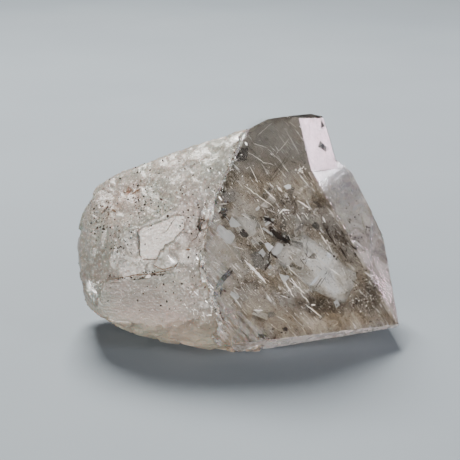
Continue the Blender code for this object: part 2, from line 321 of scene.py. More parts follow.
# Veils of haze behind a face: which face, depth, how opaque, and how open the window is, 0 to 1.
VEILS = {
    "near": ("front", 2.2, 0.20, 1.0),
    "middle": ("front", 5.0, 0.38, 1.0),
    "far": ("front", 9.0, 0.75, 1.0),
    "flank": ("flank", 1.6, 0.80, 0.0),
    "flank_far": ("flank", 4.5, 0.70, 0.0),
}
# Veils that cross the whole crystal, as planes like the faces above.
CROSSING_VEILS = {
    "rear": ((172, 9, 12.5), 0.30),
    "rear_left": ((-140, 14, 14.5), 0.25),
    "high": ((115, 70, 20.0), 0.15),
    "right": ((100, 8, 14.0), 0.15),
}
# Clouds of smoke: place, depth, half sizes across, along and into the crystal, turn in degrees and density.
SMOKE = {
    "crown": ((10.0, 20.5), 7.0, (5.5, 4.0, 3.5), -35, 50),
    "rust": ((6.5, 13.5), 4.5, (3.0, 2.2, 1.8), -30, 25),
    "band": ((13.7, 3.8), 5.0, (6.8, 3.2, 2.4), -28, 190),
    "knot": ((11.2, -1.5), 2.6, (2.7, 1.0, 0.9), -33, 900),
    "knot_small": ((8.5, 2.2), 2.6, (1.3, 0.7, 0.7), -20, 700),
    "slope": ((23.8, -0.8), 2.6, (8.5, 2.3, 1.6), -57, 170),
    "low_left": ((4.3, -12.1), 4.5, (2.4, 1.6, 1.6), -10, 170),
    "low_dot": ((2.4, -15.5), 3.0, (1.2, 0.9, 0.9), 10, 330),
    "low": ((15.0, -16.2), 5.0, (6.2, 2.4, 2.2), -14, 190),
    "low_right": ((24.0, -17.2), 4.5, (4.5, 1.6, 1.6), -8, 120),
    "corner": ((-2.2, -14.3), 2.6, (1.6, 0.9, 0.8), 20, 420),
    "tip": ((31.5, -15.5), 4.0, (3.5, 4.0, 2.0), 0, 70),
}
SMOKE_COLOUR = "#5c4a40"

# On the clouded end. Dark stained cracks: their points and width.
STAINED_CRACKS = (
    (((-25.8, -11.0), (-24.0, -10.6), (-20.7, -10.0), (-17.7, -9.9), (-15.1, -9.2), (-12.8, -8.9)), 0.36),
    (((-12.8, -8.9), (-11.7, -7.1)), 0.20),
    (((-5.8, 2.9), (-6.5, 0.9), (-7.6, -1.8), (-8.8, -2.6)), 0.50),
    (((-10.1, -4.5), (-8.8, -4.3)), 0.40),
    (((-17.7, -7.6), (-15.1, -8.9), (-12.1, -8.1)), 0.22),
    (((-12.1, 2.9), (-14.4, -0.4), (-15.7, -0.9)), 0.14),
    (((-24.0, 8.3), (-22.6, 8.8), (-21.6, 9.0)), 0.55),
    (((-22.2, 7.9), (-20.0, 9.4)), 0.45),
    (((-26.5, 4.7), (-25.6, 4.0)), 0.55),
    (((18.2, 13.0), (20.4, 13.3), (22.7, 13.6)), 0.14),
)
# Brown stains: place, reach and strength.
STAINS = (
    ((-22.8, 8.6), 1.6, 0.9),
    ((-21.0, 8.4), 1.7, 0.55),
    ((-20.2, 9.6), 1.4, 0.35),
    ((-26.0, 6.0), 5.0, 0.18),
)
# White spots, chalky where the break is crushed and painted glints where it sparkles: place, reach and
# strength.
CHALK_AND_GLINT_SPOTS = (
    ((-31.4, -12.6), 1.8, 0.55),
    ((-30.4, -14.0), 1.6, 0.5),
    ((3.2, 20.6), 1.4, 1.0),
    ((-12.9, -6.8), 1.0, 0.8),
    ((-5.7, 4.0), 0.8, 0.5),
    ((-2.2, 7.0), 0.6, 0.5),
)
# Knots of dark grains inside: place, depth, half sizes, turn, how many and the least and greatest size.
DARK_KNOTS = (
    ((11.2, -1.6), 1.6, (2.7, 1.0), -33, 26, (0.4, 1.1)),
    ((8.5, 2.2), 1.6, (1.3, 0.7), -20, 16, (0.4, 1.0)),
    ((-1.3, 4.0), 1.8, (1.1, 1.7), 0, 22, (0.4, 1.0)),
    ((-2.2, -14.3), 1.4, (1.6, 0.9), 20, 20, (0.3, 0.9)),
    ((12.5, -22.4), 0.8, (0.5, 0.5), 0, 5, (0.5, 0.9)),
    ((7.4, -24.0), 0.8, (1.6, 0.7), 0, 14, (0.4, 1.0)),
    ((23.8, -1.1), 1.5, (7.8, 1.7), -57, 120, (0.15, 0.55)),
    ((13.7, 4.2), 2.0, (6.0, 2.6), -28, 70, (0.12, 0.45)),
    ((14.8, -16.2), 2.0, (5.5, 1.8), -14, 60, (0.15, 0.55)),
    ((31.0, -15.0), 0.9, (3.4, 4.2), 0, 110, (0.15, 0.55)),
    ((2.0, -9.5), 1.5, (3.0, 2.5), -45, 30, (0.12, 0.40)),
)
# Crumbs of bright, shattered quartz inside, glowing with painted light: place, depth, half sizes, how many
# and sizes.
BRIGHT_CRUMBS = (
    ((15.8, 13.4), 1.2, (0.9, 0.7), 18, (0.3, 0.8)),
    ((12.3, -13.7), 2.0, (2.2, 1.6), 24, (0.15, 0.45)),
    ((31.0, -15.0), 0.8, (3.4, 4.2), 90, (0.12, 0.40)),
    ((14.5, 3.5), 1.8, (5.0, 2.4), 60, (0.12, 0.40)),
    ((23.0, -1.0), 1.3, (5.0, 4.0), 50, (0.10, 0.35)),
    ((3.0, -11.0), 1.4, (5.0, 5.0), 60, (0.10, 0.35)),
)
# Bright flakes on the clouded end's surface: place, half sizes, how many and the greatest length.
FLAKE_CROWDS = (
    ((-6.0, 17.0), (8.0, 3.6), 130, 0.9),
    ((-9.0, 9.0), (6.0, 4.0), 90, 0.8),
    ((-6.0, -7.0), (4.0, 5.0), 90, 1.0),
    ((-6.0, -17.5), (4.5, 3.6), 100, 1.5),
    ((-20.0, -14.0), (7.0, 3.0), 24, 0.6),
    ((-20.0, 8.0), (7.0, 4.0), 50, 0.6),
    ((-30.5, -12.6), (1.6, 1.6), 24, 1.4),
    ((-12.9, -6.6), (0.8, 0.7), 10, 1.2),
)
# Painted glints: glowing slivers where broken edges flash white, painted highlights. Place, length and
# width in mm, and heading in degrees above the right.
PAINTED_GLINTS = (
    ((-13.0, -6.8), 1.6, 0.50, -45),
    ((-13.7, -6.0), 1.0, 0.30, -60),
    ((-5.9, 3.9), 1.2, 0.35, -60),
    ((-5.5, 4.7), 0.7, 0.25, -20),
    ((-2.2, 7.1), 1.2, 0.30, -60),
    ((-4.9, 13.4), 1.0, 0.28, -70),
    ((3.0, 20.8), 2.0, 0.50, -75),
    ((3.6, 19.4), 1.0, 0.40, -60),
    ((1.2, 16.2), 0.8, 0.25, -50),
    ((-7.3, -6.4), 1.0, 0.25, -50),
    ((-6.6, -5.6), 1.3, 0.20, -55),
    ((-31.4, -11.9), 1.6, 0.50, -70),
    ((-30.4, -13.8), 1.4, 0.50, -40),
    ((-10.4, 9.6), 0.8, 0.22, -50),
    ((-7.4, 16.6), 0.9, 0.22, -35),
    ((-4.2, -12.6), 1.6, 0.18, -50),
    ((-3.2, -17.4), 1.8, 0.18, -45),
    ((-5.4, -16.0), 1.5, 0.16, -50),
    ((-7.6, -14.2), 1.3, 0.16, -45),
)
# Crowds of smaller painted glints: place, half sizes and how many.
PAINTED_GLINT_CROWDS = (
    ((-6.0, 16.0), (9.0, 4.0), 50),
    ((-4.0, 6.0), (3.0, 4.0), 26),
    ((-8.0, -8.0), (5.0, 7.0), 26),
    ((-20.0, 8.0), (8.0, 6.0), 22),
    ((-30.5, -12.6), (1.4, 1.4), 10),
)
# The border of the clouding in the front view, where specks and flakes crowd, and in how many steps.
BORDER = (
    (4.0, 23.6), (1.0, 18.0), (-1.8, 9.4), (-5.2, 4.8), (-6.8, -1.2), (-6.0, -7.4), (-3.8, -15.8),
    (-1.6, -22.6),
)
BORDER_STEPS = 80
# Flakes run this many radians above the right.
FLAKE_HEADING = -0.85
# Where small grains and dust are in the clear end: the middle and half sizes of their spread, and depths.
CLEAR_SPREAD = ((15.0, -4.0), (14.0, 15.0))
CLEAR_DEPTHS = (0.8, 7.0)
# Crowds of black specks: place, half sizes and how many.
SPECK_CROWDS = (
    ((-29.4, 3.4), (3.0, 5.5), 100),
    ((-29.9, 1.2), (1.6, 1.6), 26),
    ((-19.6, 6.0), (3.8, 3.4), 80),
    ((-23.6, -2.0), (3.4, 3.4), 46),
    ((-25.0, -4.2), (1.8, 0.8), 22),
    ((-21.8, -0.8), (1.4, 1.2), 14),
    ((-24.0, -10.6), (4.2, 0.5), 26),
    ((-17.7, 0.2), (0.15, 0.15), 4),
    ((-19.1, -3.3), (0.15, 0.15), 4),
    ((-27.0, 5.4), (2.6, 2.6), 30),
    ((-17.5, -9.6), (3.0, 0.5), 20),
    ((-20.0, 11.0), (6.0, 3.0), 30),
    ((-16.0, -14.0), (7.0, 5.0), 26),
    ((-9.5, -8.0), (3.6, 8.0), 40),
    ((-13.0, 5.0), (6.0, 5.0), 34),
    ((-8.0, 1.0), (2.6, 5.0), 30),
    ((-8.0, 14.0), (6.0, 4.0), 22),
    ((27.0, -1.0), (3.4, 6.0), 70),
    ((30.6, -0.4), (1.8, 3.4), 14),
    ((31.0, -14.0), (3.2, 4.5), 60),
    ((8.0, -24.0), (2.4, 1.4), 22),
    ((12.5, -22.4), (0.8, 0.8), 10),
)

# The lights: place and size in metres, power as a share of the key light's, and colour.
LIGHTS = {
    "key": ((-0.12, 0.38, 0.66), (0.36, 0.28), 1.0, "#fffdf8"),
    "fill": ((-0.30, -0.80, 0.066), (0.70, 0.115), 1.12, "#fffdfb"),
    "side": ((0.36, 0.240, 0.048), (0.045, 0.040), 0.013, "#ffdcf0"),
    "side_high": ((0.36, 0.336, 0.116), (0.050, 0.030), 0.023, "#f8f4ff"),
    "right": ((0.62, -0.42, 0.36), (0.30, 0.30), 0.17, "#fdfbff"),
}
ROOM_COLOUR = "#dfe6ee"
ROOM_STRENGTH = 0.10


class CrystalLook(bpy.types.PropertyGroup):
    """Sizes and colours of the crystal's surface."""

    facet_length: FloatProperty(
        name="Facet length", description="Longest edge of the visible surface",
        default=0.75 * MM, unit="LENGTH",
    )
    wear_height: FloatProperty(
        name="Wear", description="How far the clouded end's small lumps stand out",
        default=0.10 * MM, unit="LENGTH",
    )
    chip_depth: FloatProperty(
        name="Edge chips", description="How deep the small chips on sharp edges are",
        default=0.14 * MM, unit="LENGTH",
    )
    break_seed: IntProperty(
        name="Break seed", description="Which way each facet of the broken surface leans", default=2, min=1
    )
    smoke_colour: FloatVectorProperty(
        name="Smoky tint", description="Light that passes through the clear end",
        default=(0.60, 0.55, 0.49), size=3, subtype="COLOR", min=0.0, max=1.0,
    )
    smoke_strength: FloatProperty(
        name="Smoky tint strength", description="Absorption in each metre of clear crystal", default=12.0
    )


class InsideLook(bpy.types.PropertyGroup):
    """Numbers of the small things inside the crystal."""

    seed: IntProperty(name="Seed", description="Which random spread of small things", default=7)
    slivers: IntProperty(name="Slivers", description="Number of small bright cracks", default=620)
    dark_slivers: IntProperty(name="Dark slivers", description="Number of small dark cracks", default=220)
    shards: IntProperty(name="Shards", description="Number of small angular plates", default=110)
    grains: IntProperty(name="Grains", description="Number of dark grains", default=500)
    flakes: IntProperty(name="Flakes", description="Number of flakes on the clouded end", default=420)
    specks: IntProperty(name="Specks", description="Number of black specks strewn over it", default=320)
    dust: IntProperty(name="Dust", description="Number of pale specks of dust", default=2600)


class StageLook(bpy.types.PropertyGroup):
    """Sizes of the stage and lights."""

    floor_size: FloatProperty(name="Floor", description="Side of the floor", default=6.0, unit="LENGTH")
    key_power: FloatProperty(name="Key light", description="Watts of the overhead light", default=20.0)


def linear(hex_colour):
    """An opaque linear colour from an sRGB hex value."""
    parts = [int(hex_colour[i : i + 2], 16) / 255 for i in (1, 3, 5)]
    return [c / 12.92 if c <= 0.04045 else ((c + 0.055) / 1.055) ** 2.4 for c in parts] + [1.0]


def per_mm(size):
    """The texture scale whose features are this many millimetres apart in object coordinates."""
    return 1.0 / (size * MM)


def smooth_step(start, end, value):
    """0 at the start and 1 at the end, with a smooth rise between."""
    share = min(1.0, max(0.0, (value - start) / (end - start)))
    return share * share * (3 - 2 * share)


def node(tree, kind, values=None, links=None, **settings):
    """Adds a node with its settings, its socket values and its incoming links, and returns it.

    A link comes from a socket, or from the first output in use of a node. Sockets 1 to 4 of a Map Range are
    the least and most that it takes and gives. Sockets 0, 6 and 7 of a colour Mix are share and colours.
    """
    made = tree.nodes.new(kind)
    for name, value in settings.items():
        setattr(made, name, value)
    for socket, value in (values or {}).items():
        made.inputs[socket].default_value = value
    for socket, source in (links or {}).items():
        if isinstance(source, bpy.types.Node):
            source = next(output for output in source.outputs if output.enabled)
        tree.links.new(source, made.inputs[socket])
    return made


def new_material(name):
    """An empty node material, as (material, tree)."""
    material = bpy.data.materials.new(name)
    material.use_nodes = True
    material.node_tree.nodes.clear()
    return material, material.node_tree


def set_stops(ramp, stops):
    """Gives a new colour ramp its stops, each a place along it and an sRGB hex value."""
    while len(ramp.elements) < len(stops):
        ramp.elements.new(0.5)
    for element, (position, tone) in zip(ramp.elements, stops):
        element.position = position
        element.color = linear(tone)


def mottled_material(name, tones, spacing, detail, finish, span=(0.0, 1.0)):
    """A material that drifts from one tone to another in a soft pattern with this spacing in mm.

    The span is the part of the pattern over which the tone changes.
    """
    material, tree = new_material(name)
    place = node(tree, "ShaderNodeTexCoord").outputs["Object"]
    uneven = node(tree, "ShaderNodeTexNoise", {"Scale": per_mm(spacing), "Detail": detail}, {"Vector": place})
    share = node(tree, "ShaderNodeMapRange", {1: span[0], 2: span[1]}, {0: uneven})
    low, high = (linear(tone) for tone in tones)
    colour = node(tree, "ShaderNodeMix", {6: low, 7: high}, {0: share}, data_type="RGBA")
    surface = node(tree, "ShaderNodeBsdfPrincipled", finish, {"Base Color": colour})
    node(tree, "ShaderNodeOutputMaterial", {}, {"Surface": surface})
    return material


def direction(bearing, rise):
    """The unit vector that a face with this bearing and rise looks along."""
    across, up = math.radians(bearing), math.radians(rise)
    return Vector((math.sin(across) * math.cos(up), -math.cos(across) * math.cos(up), math.sin(up)))


def upright(outward):
    """The right and up directions of a plane that looks along a direction."""
    up = (Vector((0, 0, 1)) - outward * outward.z).normalized()
    return up.cross(outward), up


def streak_axes(face):
    """Turns object directions so that X runs along the streaks of a face and Z out of it."""
    outward = direction(*face[:2])
    right, up = upright(outward)
    heading = math.radians(STREAK_HEADING)
    along = right * math.cos(heading) + up * math.sin(heading)
    return Matrix((along, outward.cross(along), outward))


def tree_of(mesh):
    """A mesh as a tree that rays can be cast at."""
    return BVHTree.FromPolygons([v.co for v in mesh.vertices], [list(p.vertices) for p in mesh.polygons])


SOLID = tree_of(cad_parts[NODE].data)


def below(spot, outward, depth):
    """The point this many mm below a place on the surface, along the camera's sight line, which bends there.

    It stays inside the crystal: it goes at most nine tenths of the way to the far side.
    """
    sight = (spot / MM - VIEW_TARGET - direction(0, VIEW_RISE) * VIEW_DISTANCE).normalized()
    across = (sight - outward * outward.dot(sight)) / QUARTZ_IOR
    inward = across - outward * math.sqrt(1 - across.length_squared)
    _, _, _, far = SOLID.ray_cast(spot + inward * 0.02 * MM, inward)
    return spot + inward * min(depth * MM / -inward.dot(outward), 0.9 * (far or 0.0))


def seen(right, up, depth=0.0, surface=SOLID):
    """The point this deep below the surface that the camera sees here, and the surface's direction.

    Right, up and depth are in mm and the point is in metres.
    """
    back = direction(0, VIEW_RISE)
    screen_right, screen_up = upright(back)
    eye = VIEW_TARGET + back * VIEW_DISTANCE
    sight = (VIEW_TARGET + screen_right * right + screen_up * up - eye).normalized()
    spot, outward, _, _ = surface.ray_cast(eye * MM, sight)
    if spot is None:
        raise ValueError(f"the camera sees no crystal at {right}, {up}")
    return (below(spot, outward, depth) if depth else spot), outward


def in_view(spot):
    """Where the camera sees a point, as (right, up) in mm."""
    back = direction(0, VIEW_RISE)
    screen_right, screen_up = upright(back)
    away = spot / MM - VIEW_TARGET
    nearer = VIEW_DISTANCE / (VIEW_DISTANCE - away.dot(back))
    return away.dot(screen_right) * nearer, away.dot(screen_up) * nearer


def new_piece(name, shape, material, smooth=False):
    """A mesh object of the crystal from a bmesh, riding on the crystal, with its material."""
    for face in shape.faces:
        face.smooth = smooth
    mesh = bpy.data.meshes.new(name)
    shape.to_mesh(mesh)
    shape.free()
    piece = bpy.data.objects.new(name, mesh)
    bpy.context.scene.collection.objects.link(piece)
    mesh.materials.append(material)
    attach(piece, "root")
    return piece


def solid_shape():
    """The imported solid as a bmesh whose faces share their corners."""
    shape = bmesh.new()
    shape.from_mesh(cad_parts[NODE].data)
    bmesh.ops.remove_doubles(shape, verts=shape.verts, dist=WELD * MM)
    return shape


# The body


def quartz_material(look):
    """Natural quartz, part grown faces and part worn break: glassy where clear, waxy where clouded."""
    material, tree = new_material("natural_quartz_grown_and_broken")
    place = node(tree, "ShaderNodeTexCoord").outputs["Object"]
    marks = ("clouded", "etched", "patch", "rough", "whiteness_and_highlight", "hatch_and_pit_shade", "chalk_and_glint", "stained")
    clouded, etched, patch, hidden, whiteness_and_highlight, hatch_and_pit_shade, chalk_and_glint, stained = (
        node(tree, "ShaderNodeAttribute", attribute_name=name).outputs["Fac"] for name in marks
    )
    # How far apart features are in mm, with detail, roughness and distortion: soft clots, grains that stand
    # proud, wisps, broad drifts of colour, and sugary grains with painted glints.
    patterns = (
        (6.0, 6.0, 0.62, 0.0),
        (0.9, 3.0, 0.7, 0.0),
        (2.2, 5.0, 0.75, 1.2),
        (16.0, 2.0, 0.5, 0.0),
        (0.5, 2.0, 0.6, 0.0),
    )
    clots, grains, wisps, drifts, sugar_and_glints = (
        node(
            tree, "ShaderNodeTexNoise",
            {"Scale": per_mm(spacing), "Detail": detail, "Roughness": roughness, "Distortion": distortion},
            {"Vector": place},
        )
        for spacing, detail, roughness, distortion in patterns
    )

    # The clouding is grey-beige with paler wisps. It is greener and darker at its far end. It is greyer and
    # paler towards its top, a painted highlight of the light from above, and paler and warmer at its
    # underside, painted light that lifts the shade there.
    waxy = node(tree, "ShaderNodeValToRGB", links={"Fac": clots})
    set_stops(waxy.color_ramp, ((0.30, "#4f4a44"), (0.5, "#655f59"), (0.68, "#7f7973")))
    parts = node(tree, "ShaderNodeSeparateXYZ", links={"Vector": place})
    height = parts.outputs["Z"]
    tints = (
        ("#b8b2a9", wisps, (0.55, 0.78, 0.0, 0.16)),
        ("#5d5f5a", parts.outputs["X"], (-34 * MM, -18 * MM, 0.75, 0.0)),
        ("#a5a4a1", height, (18 * MM, 44 * MM, 0.0, 0.42)),
        ("#a0958a", height, (3 * MM, 12 * MM, 0.5, 0.0)),
    )
    for tone, source, span in tints:
        share = node(tree, "ShaderNodeMapRange", dict(enumerate(span, 1)), {0: source})
        waxy = node(tree, "ShaderNodeMix", {7: linear(tone)}, {0: share, 6: waxy}, data_type="RGBA")
    # Its colour drifts from greenish grey to pinkish beige, and the cleaved patch has its own two tones.
    drift_tint = node(tree, "ShaderNodeValToRGB", links={"Fac": drifts})
    set_stops(drift_tint.color_ramp, ((0.38, "#e6eadf"), (0.62, "#fff0e8")))
    waxy = node(
        tree, "ShaderNodeMix", {0: 1.0}, {6: waxy, 7: drift_tint}, data_type="RGBA", blend_type="MULTIPLY"
    )
    patch_tone = node(
        tree, "ShaderNodeMix", {6: linear("#7c736a"), 7: linear("#9c9289")}, {0: wisps}, data_type="RGBA"
    )
    waxy = node(tree, "ShaderNodeMix", {}, {0: patch, 6: waxy, 7: patch_tone}, data_type="RGBA")
    # Sugary grains show as pale painted glints and dark gaps, more so higher up.
    grainy = node(tree, "ShaderNodeMapRange", {1: 10 * MM, 2: 30 * MM, 3: 0.1, 4: 1.0}, {0: height})
    for tone, span in (("#f6f4f0", (0.56, 0.72, 0.0, 0.38)), ("#3f3931", (0.28, 0.45, 0.75, 0.0))):
        share = node(tree, "ShaderNodeMapRange", dict(enumerate(span, 1)), {0: sugar_and_glints})
        share = node(tree, "ShaderNodeMath", {}, {0: share, 1: grainy}, operation="MULTIPLY")
        waxy = node(tree, "ShaderNodeMix", {7: linear(tone)}, {0: share, 6: waxy}, data_type="RGBA")
    # Crushed spots are chalk white, some of them painted glints, and stains are rusty brown.
    for tone, share in (("#f4f3f0", chalk_and_glint), ("#6b4c37", stained)):
        waxy = node(tree, "ShaderNodeMix", {7: linear(tone)}, {0: share, 6: waxy}, data_type="RGBA")

    # Hidden faces are frosted in patches and smoky in blotches, which follow the clots.
    frosted = node(tree, "ShaderNodeMapRange", {1: 0.36, 2: 0.66, 3: 0.30, 4: 1.0}, {0: clots})
    rough = node(tree, "ShaderNodeMath", {}, {0: hidden, 1: frosted}, operation="MULTIPLY")
    blotch = node(tree, "ShaderNodeMapRange", {1: 0.30, 2: 0.70, 3: 1.0, 4: 0.0}, {0: clots})
    blotch = node(tree, "ShaderNodeMath", {}, {0: blotch, 1: hidden}, operation="MULTIPLY")
    glass = node(
        tree, "ShaderNodeMix", {6: linear("#f7f5f3"), 7: linear("#b3a89d")}, {0: blotch}, data_type="RGBA"
    )

    # Etching turns a grown face pale and satin. It comes and goes in patches about 2 mm across.
    etch_spread = node(tree, "ShaderNodeMapRange", {1: 0.35, 2: 0.65, 3: 0.42, 4: 1.0}, {0: wisps})
    etch = node(tree, "ShaderNodeMath", {}, {0: etched, 1: etch_spread}, operation="MULTIPLY")
    # Its pinkish white is partly a painted highlight, on the bright face and at the top of the flank.
    frost_and_highlight = node(
        tree, "ShaderNodeMix", {6: linear("#8d847b"), 7: linear("#f4e0ea")}, {0: whiteness_and_highlight}, data_type="RGBA"
    )
    # The crosshatch is of dark ledges 0.7 mm apart and 3 mm long, level and upright: twice as coarse as real.
    close, drawn_long = 1.4 / MM, 0.3 / MM
    level, upward = (
        node(
            tree, "ShaderNodeTexNoise", {"Scale": 1.0, "Detail": 2.0},
            {"Vector": node(tree, "ShaderNodeMapping", {"Scale": scale}, {"Vector": place})},
        )
        for scale in ((drawn_long, drawn_long, close), (close, close, drawn_long))
    )
    crossed = node(tree, "ShaderNodeMath", {}, {0: level, 1: upward}, operation="MAXIMUM")
    dark_line = node(tree, "ShaderNodeMapRange", {1: 0.49, 2: 0.61, 3: 0.15, 4: 1.0}, {0: crossed})
    hatch = node(
        tree, "ShaderNodeMath", {}, {0: dark_line, 1: hatch_and_pit_shade}, operation="MULTIPLY", use_clamp=True
    )
    glassy = node(tree, "ShaderNodeMix", {}, {0: etch, 6: glass, 7: frost_and_highlight}, data_type="RGBA")
    # The same dark tone fills the growth pits as painted shade.
    glassy = node(tree, "ShaderNodeMix", {7: linear("#474143")}, {0: hatch, 6: glassy}, data_type="RGBA")

    # Where the clouding thins out it is warmer, and streaked like the cracks: 0.9 mm wide and 7 mm long.
    streak_turn = streak_axes(CLEAR_FACES["front"]).to_euler()
    turned = node(tree, "ShaderNodeMapping", {"Rotation": streak_turn}, {"Vector": place})
    streak_scale = (per_mm(7.0), per_mm(0.9), per_mm(3.0))
    drawn_out = node(tree, "ShaderNodeMapping", {"Scale": streak_scale}, {"Vector": turned})
    streaks = node(
        tree, "ShaderNodeTexNoise", {"Scale": 1.0, "Detail": 5.0, "Roughness": 0.6}, {"Vector": drawn_out}
    )
    thin = node(tree, "ShaderNodeMath", {0: 1.0}, {1: clouded}, operation="SUBTRACT")
    thin = node(tree, "ShaderNodeMath", {}, {0: thin, 1: clouded}, operation="MULTIPLY")
    swing = node(tree, "ShaderNodeMapRange", {1: 0.38, 2: 0.62, 3: -1.9, 4: 1.1}, {0: streaks})
    milky = node(tree, "ShaderNodeMath", {}, {0: thin, 1: swing, 2: clouded}, operation="MULTIPLY_ADD")
    milky = node(tree, "ShaderNodeClamp", {}, {0: milky})
    warmth = node(tree, "ShaderNodeMath", {1: 3.0}, {0: thin}, operation="MULTIPLY")
    waxy = node(tree, "ShaderNodeMix", {7: linear("#746658")}, {0: warmth, 6: waxy}, data_type="RGBA")
    waxy_share = node(tree, "ShaderNodeMapRange", {1: 0.0, 2: 0.4, 3: 0.0, 4: 1.0}, {0: milky})
    colour = node(tree, "ShaderNodeMix", {}, {0: waxy_share, 6: glassy, 7: waxy}, data_type="RGBA")

    # Clouding, etching and the crosshatch each let less light through.
    clearness = node(tree, "ShaderNodeMapRange", {3: 1.0, 4: 0.18}, {0: milky})
    for source, least in ((etch, 0.25), (hatch, 0.2)):
        through = node(tree, "ShaderNodeMapRange", {3: 1.0, 4: least}, {0: source})
        clearness = node(tree, "ShaderNodeMath", {}, {0: clearness, 1: through}, operation="MULTIPLY")

    # Etched and hidden faces are rough, the floors of the growth pits more so, and the clouded end is waxy.
    rough_etch = node(tree, "ShaderNodeMapRange", {3: 0.05, 4: 0.24}, {0: etch})
    pitted = node(tree, "ShaderNodeMapRange", {1: 1.0, 2: PIT_MARK, 3: 0.0, 4: 0.5}, {0: hatch_and_pit_shade})
    rough_etch = node(tree, "ShaderNodeMath", {}, {0: pitted, 1: rough_etch}, operation="ADD")
    rough_etch = node(tree, "ShaderNodeMath", {1: 0.5}, {0: rough, 2: rough_etch}, operation="MULTIPLY_ADD")
    roughness = node(tree, "ShaderNodeMix", {3: 0.40}, {0: clouded, 2: rough_etch}, data_type="FLOAT")

    # Grains stand about 0.05 mm proud on the clouded end. Hidden grown faces have level growth lines.
    lines = node(tree, "ShaderNodeMath", {}, {0: level, 1: hidden}, operation="MULTIPLY")
    grain_height = node(tree, "ShaderNodeMath", {1: 0.4}, {0: etch, 2: clouded}, operation="MULTIPLY_ADD")
    relief = node(
        tree, "ShaderNodeMath", {}, {0: grains, 1: grain_height, 2: lines}, operation="MULTIPLY_ADD"
    )
    bump = node(tree, "ShaderNodeBump", {"Strength": 0.9, "Distance": 0.18 * MM}, {"Height": relief})

    surface = node(
        tree, "ShaderNodeBsdfPrincipled",
        {"IOR": QUARTZ_IOR, "Subsurface Weight": 0.25, "Subsurface Scale": 1.2 * MM},
        {"Base Color": colour, "Roughness": roughness, "Transmission Weight": clearness, "Normal": bump},
    )
    smoky = {"Color": [*look.smoke_colour, 1.0], "Density": look.smoke_strength}
    tint = node(tree, "ShaderNodeVolumeAbsorption", smoky)
    node(tree, "ShaderNodeOutputMaterial", {}, {"Surface": surface, "Volume": tint})
    return material


def named_planes():
    """Every flat face of the solid as (name, outward direction, a point on it in mm)."""
    planes = []
    for middle, faces in ((CLEAR_MIDDLE, CLEAR_FACES | HEAD_FACES), (CLOUDED_MIDDLE, BREAK_FACES)):
        for name, (bearing, rise, reach) in faces.items():
            outward = direction(bearing, rise)
            planes.append((name, outward, middle + outward * reach))
    return planes


def name_faces(shape, planes):
    """Numbers each face of the shape with the plane it lies in, or 0 where it is worn or broken.

    The faces of growth pits have the number after the last plane's.
    """
    label = shape.faces.layers.int.new("label")
    pits = [(seen(*place)[0] / MM, reach) for place, reach in PAINTED_SHADE_PITS]
    _, bright_outward, bright_foot = next(plane for plane in planes if plane[0] == "bright")
    for face in shape.faces:
        middle = face.calc_center_median() / MM
        if (bright_foot - middle).dot(bright_outward) > PIT_FLOOR:
            if any((middle - pit).length < reach for pit, reach in pits):
                face[label] = len(planes) + 1
                continue
        for number, (_, outward, foot) in enumerate(planes, 1):
            if face.normal.dot(outward) > SAME_DIRECTION:
                height = (middle - foot).dot(outward)
                if SAME_PLANE[0] < height < SAME_PLANE[1]:
                    face[label] = number
                    break
    return label


def divide(shape, longest):
    """Splits edges in two until nearly none is longer than this."""
    for _ in range(DIVISIONS):
        long_edges = [edge for edge in shape.edges if edge.calc_length() > longest]
        bmesh.ops.subdivide_edges(shape, edges=long_edges, cuts=1)
        bmesh.ops.triangulate(shape, faces=[face for face in shape.faces if len(face.verts) > 3])


def uneven_noise(spot, spacing):
    """Smooth noise at a point, whose strong and weak features are this far apart in mm."""
    strong, weak = (noise.noise(spot / (apart * MM)) for apart in spacing)
    return strong + 0.6 * weak


def chip_edges(shape, label, depth, pit):
    """Knocks small chips out of the sharp edges where a flat face ends, but not round the growth pits."""
    shape.normal_update()
    moves = {}
    for edge in shape.edges:
        if len(edge.link_faces) != 2:
            continue
        one, other = edge.link_faces
        labels = {one[label], other[label]}
        if len(labels) == 1 or pit in labels or one.normal.dot(other.normal) > BLUNT_EDGE:
            continue
        inward = -(one.normal + other.normal).normalized()
        for vert in edge.verts:
            chance = uneven_noise(vert.co, CHIP_SPACING)
            moves[vert] = inward * depth * max(0.0, min(1.0, 0.35 + 1.6 * chance))
    for vert, move in moves.items():
        vert.co += move


def broken_step(spot, size, slope):
    """Height in mm of a surface broken into flat facets of this size, each leaning its own way."""
    _, centres = noise.voronoi(spot / size)
    lean = noise.noise_vector(centres[0] * 5.3).normalized()
    return (spot / size - centres[0]).dot(lean) * size * slope


def wear(shape, label, height):
    """Softens the worn and broken surface and raises small lumps on it."""
    free = [v for v in shape.verts if all(face[label] == 0 for face in v.link_faces)]
    for _ in range(3):
        bmesh.ops.smooth_vert(
            shape, verts=free, factor=0.4, use_axis_x=True, use_axis_y=True, use_axis_z=True
        )
    shape.normal_update()
    for vert in free:
        lump = uneven_noise(vert.co, LUMP_SPACING)
        steps = sum(broken_step(vert.co / MM, size, slope) for size, slope in WORN_FACETS)
        steps = max(WORN_LIMITS[0], min(WORN_LIMITS[1], steps))
        vert.co += vert.normal * (height * lump + steps * MM)


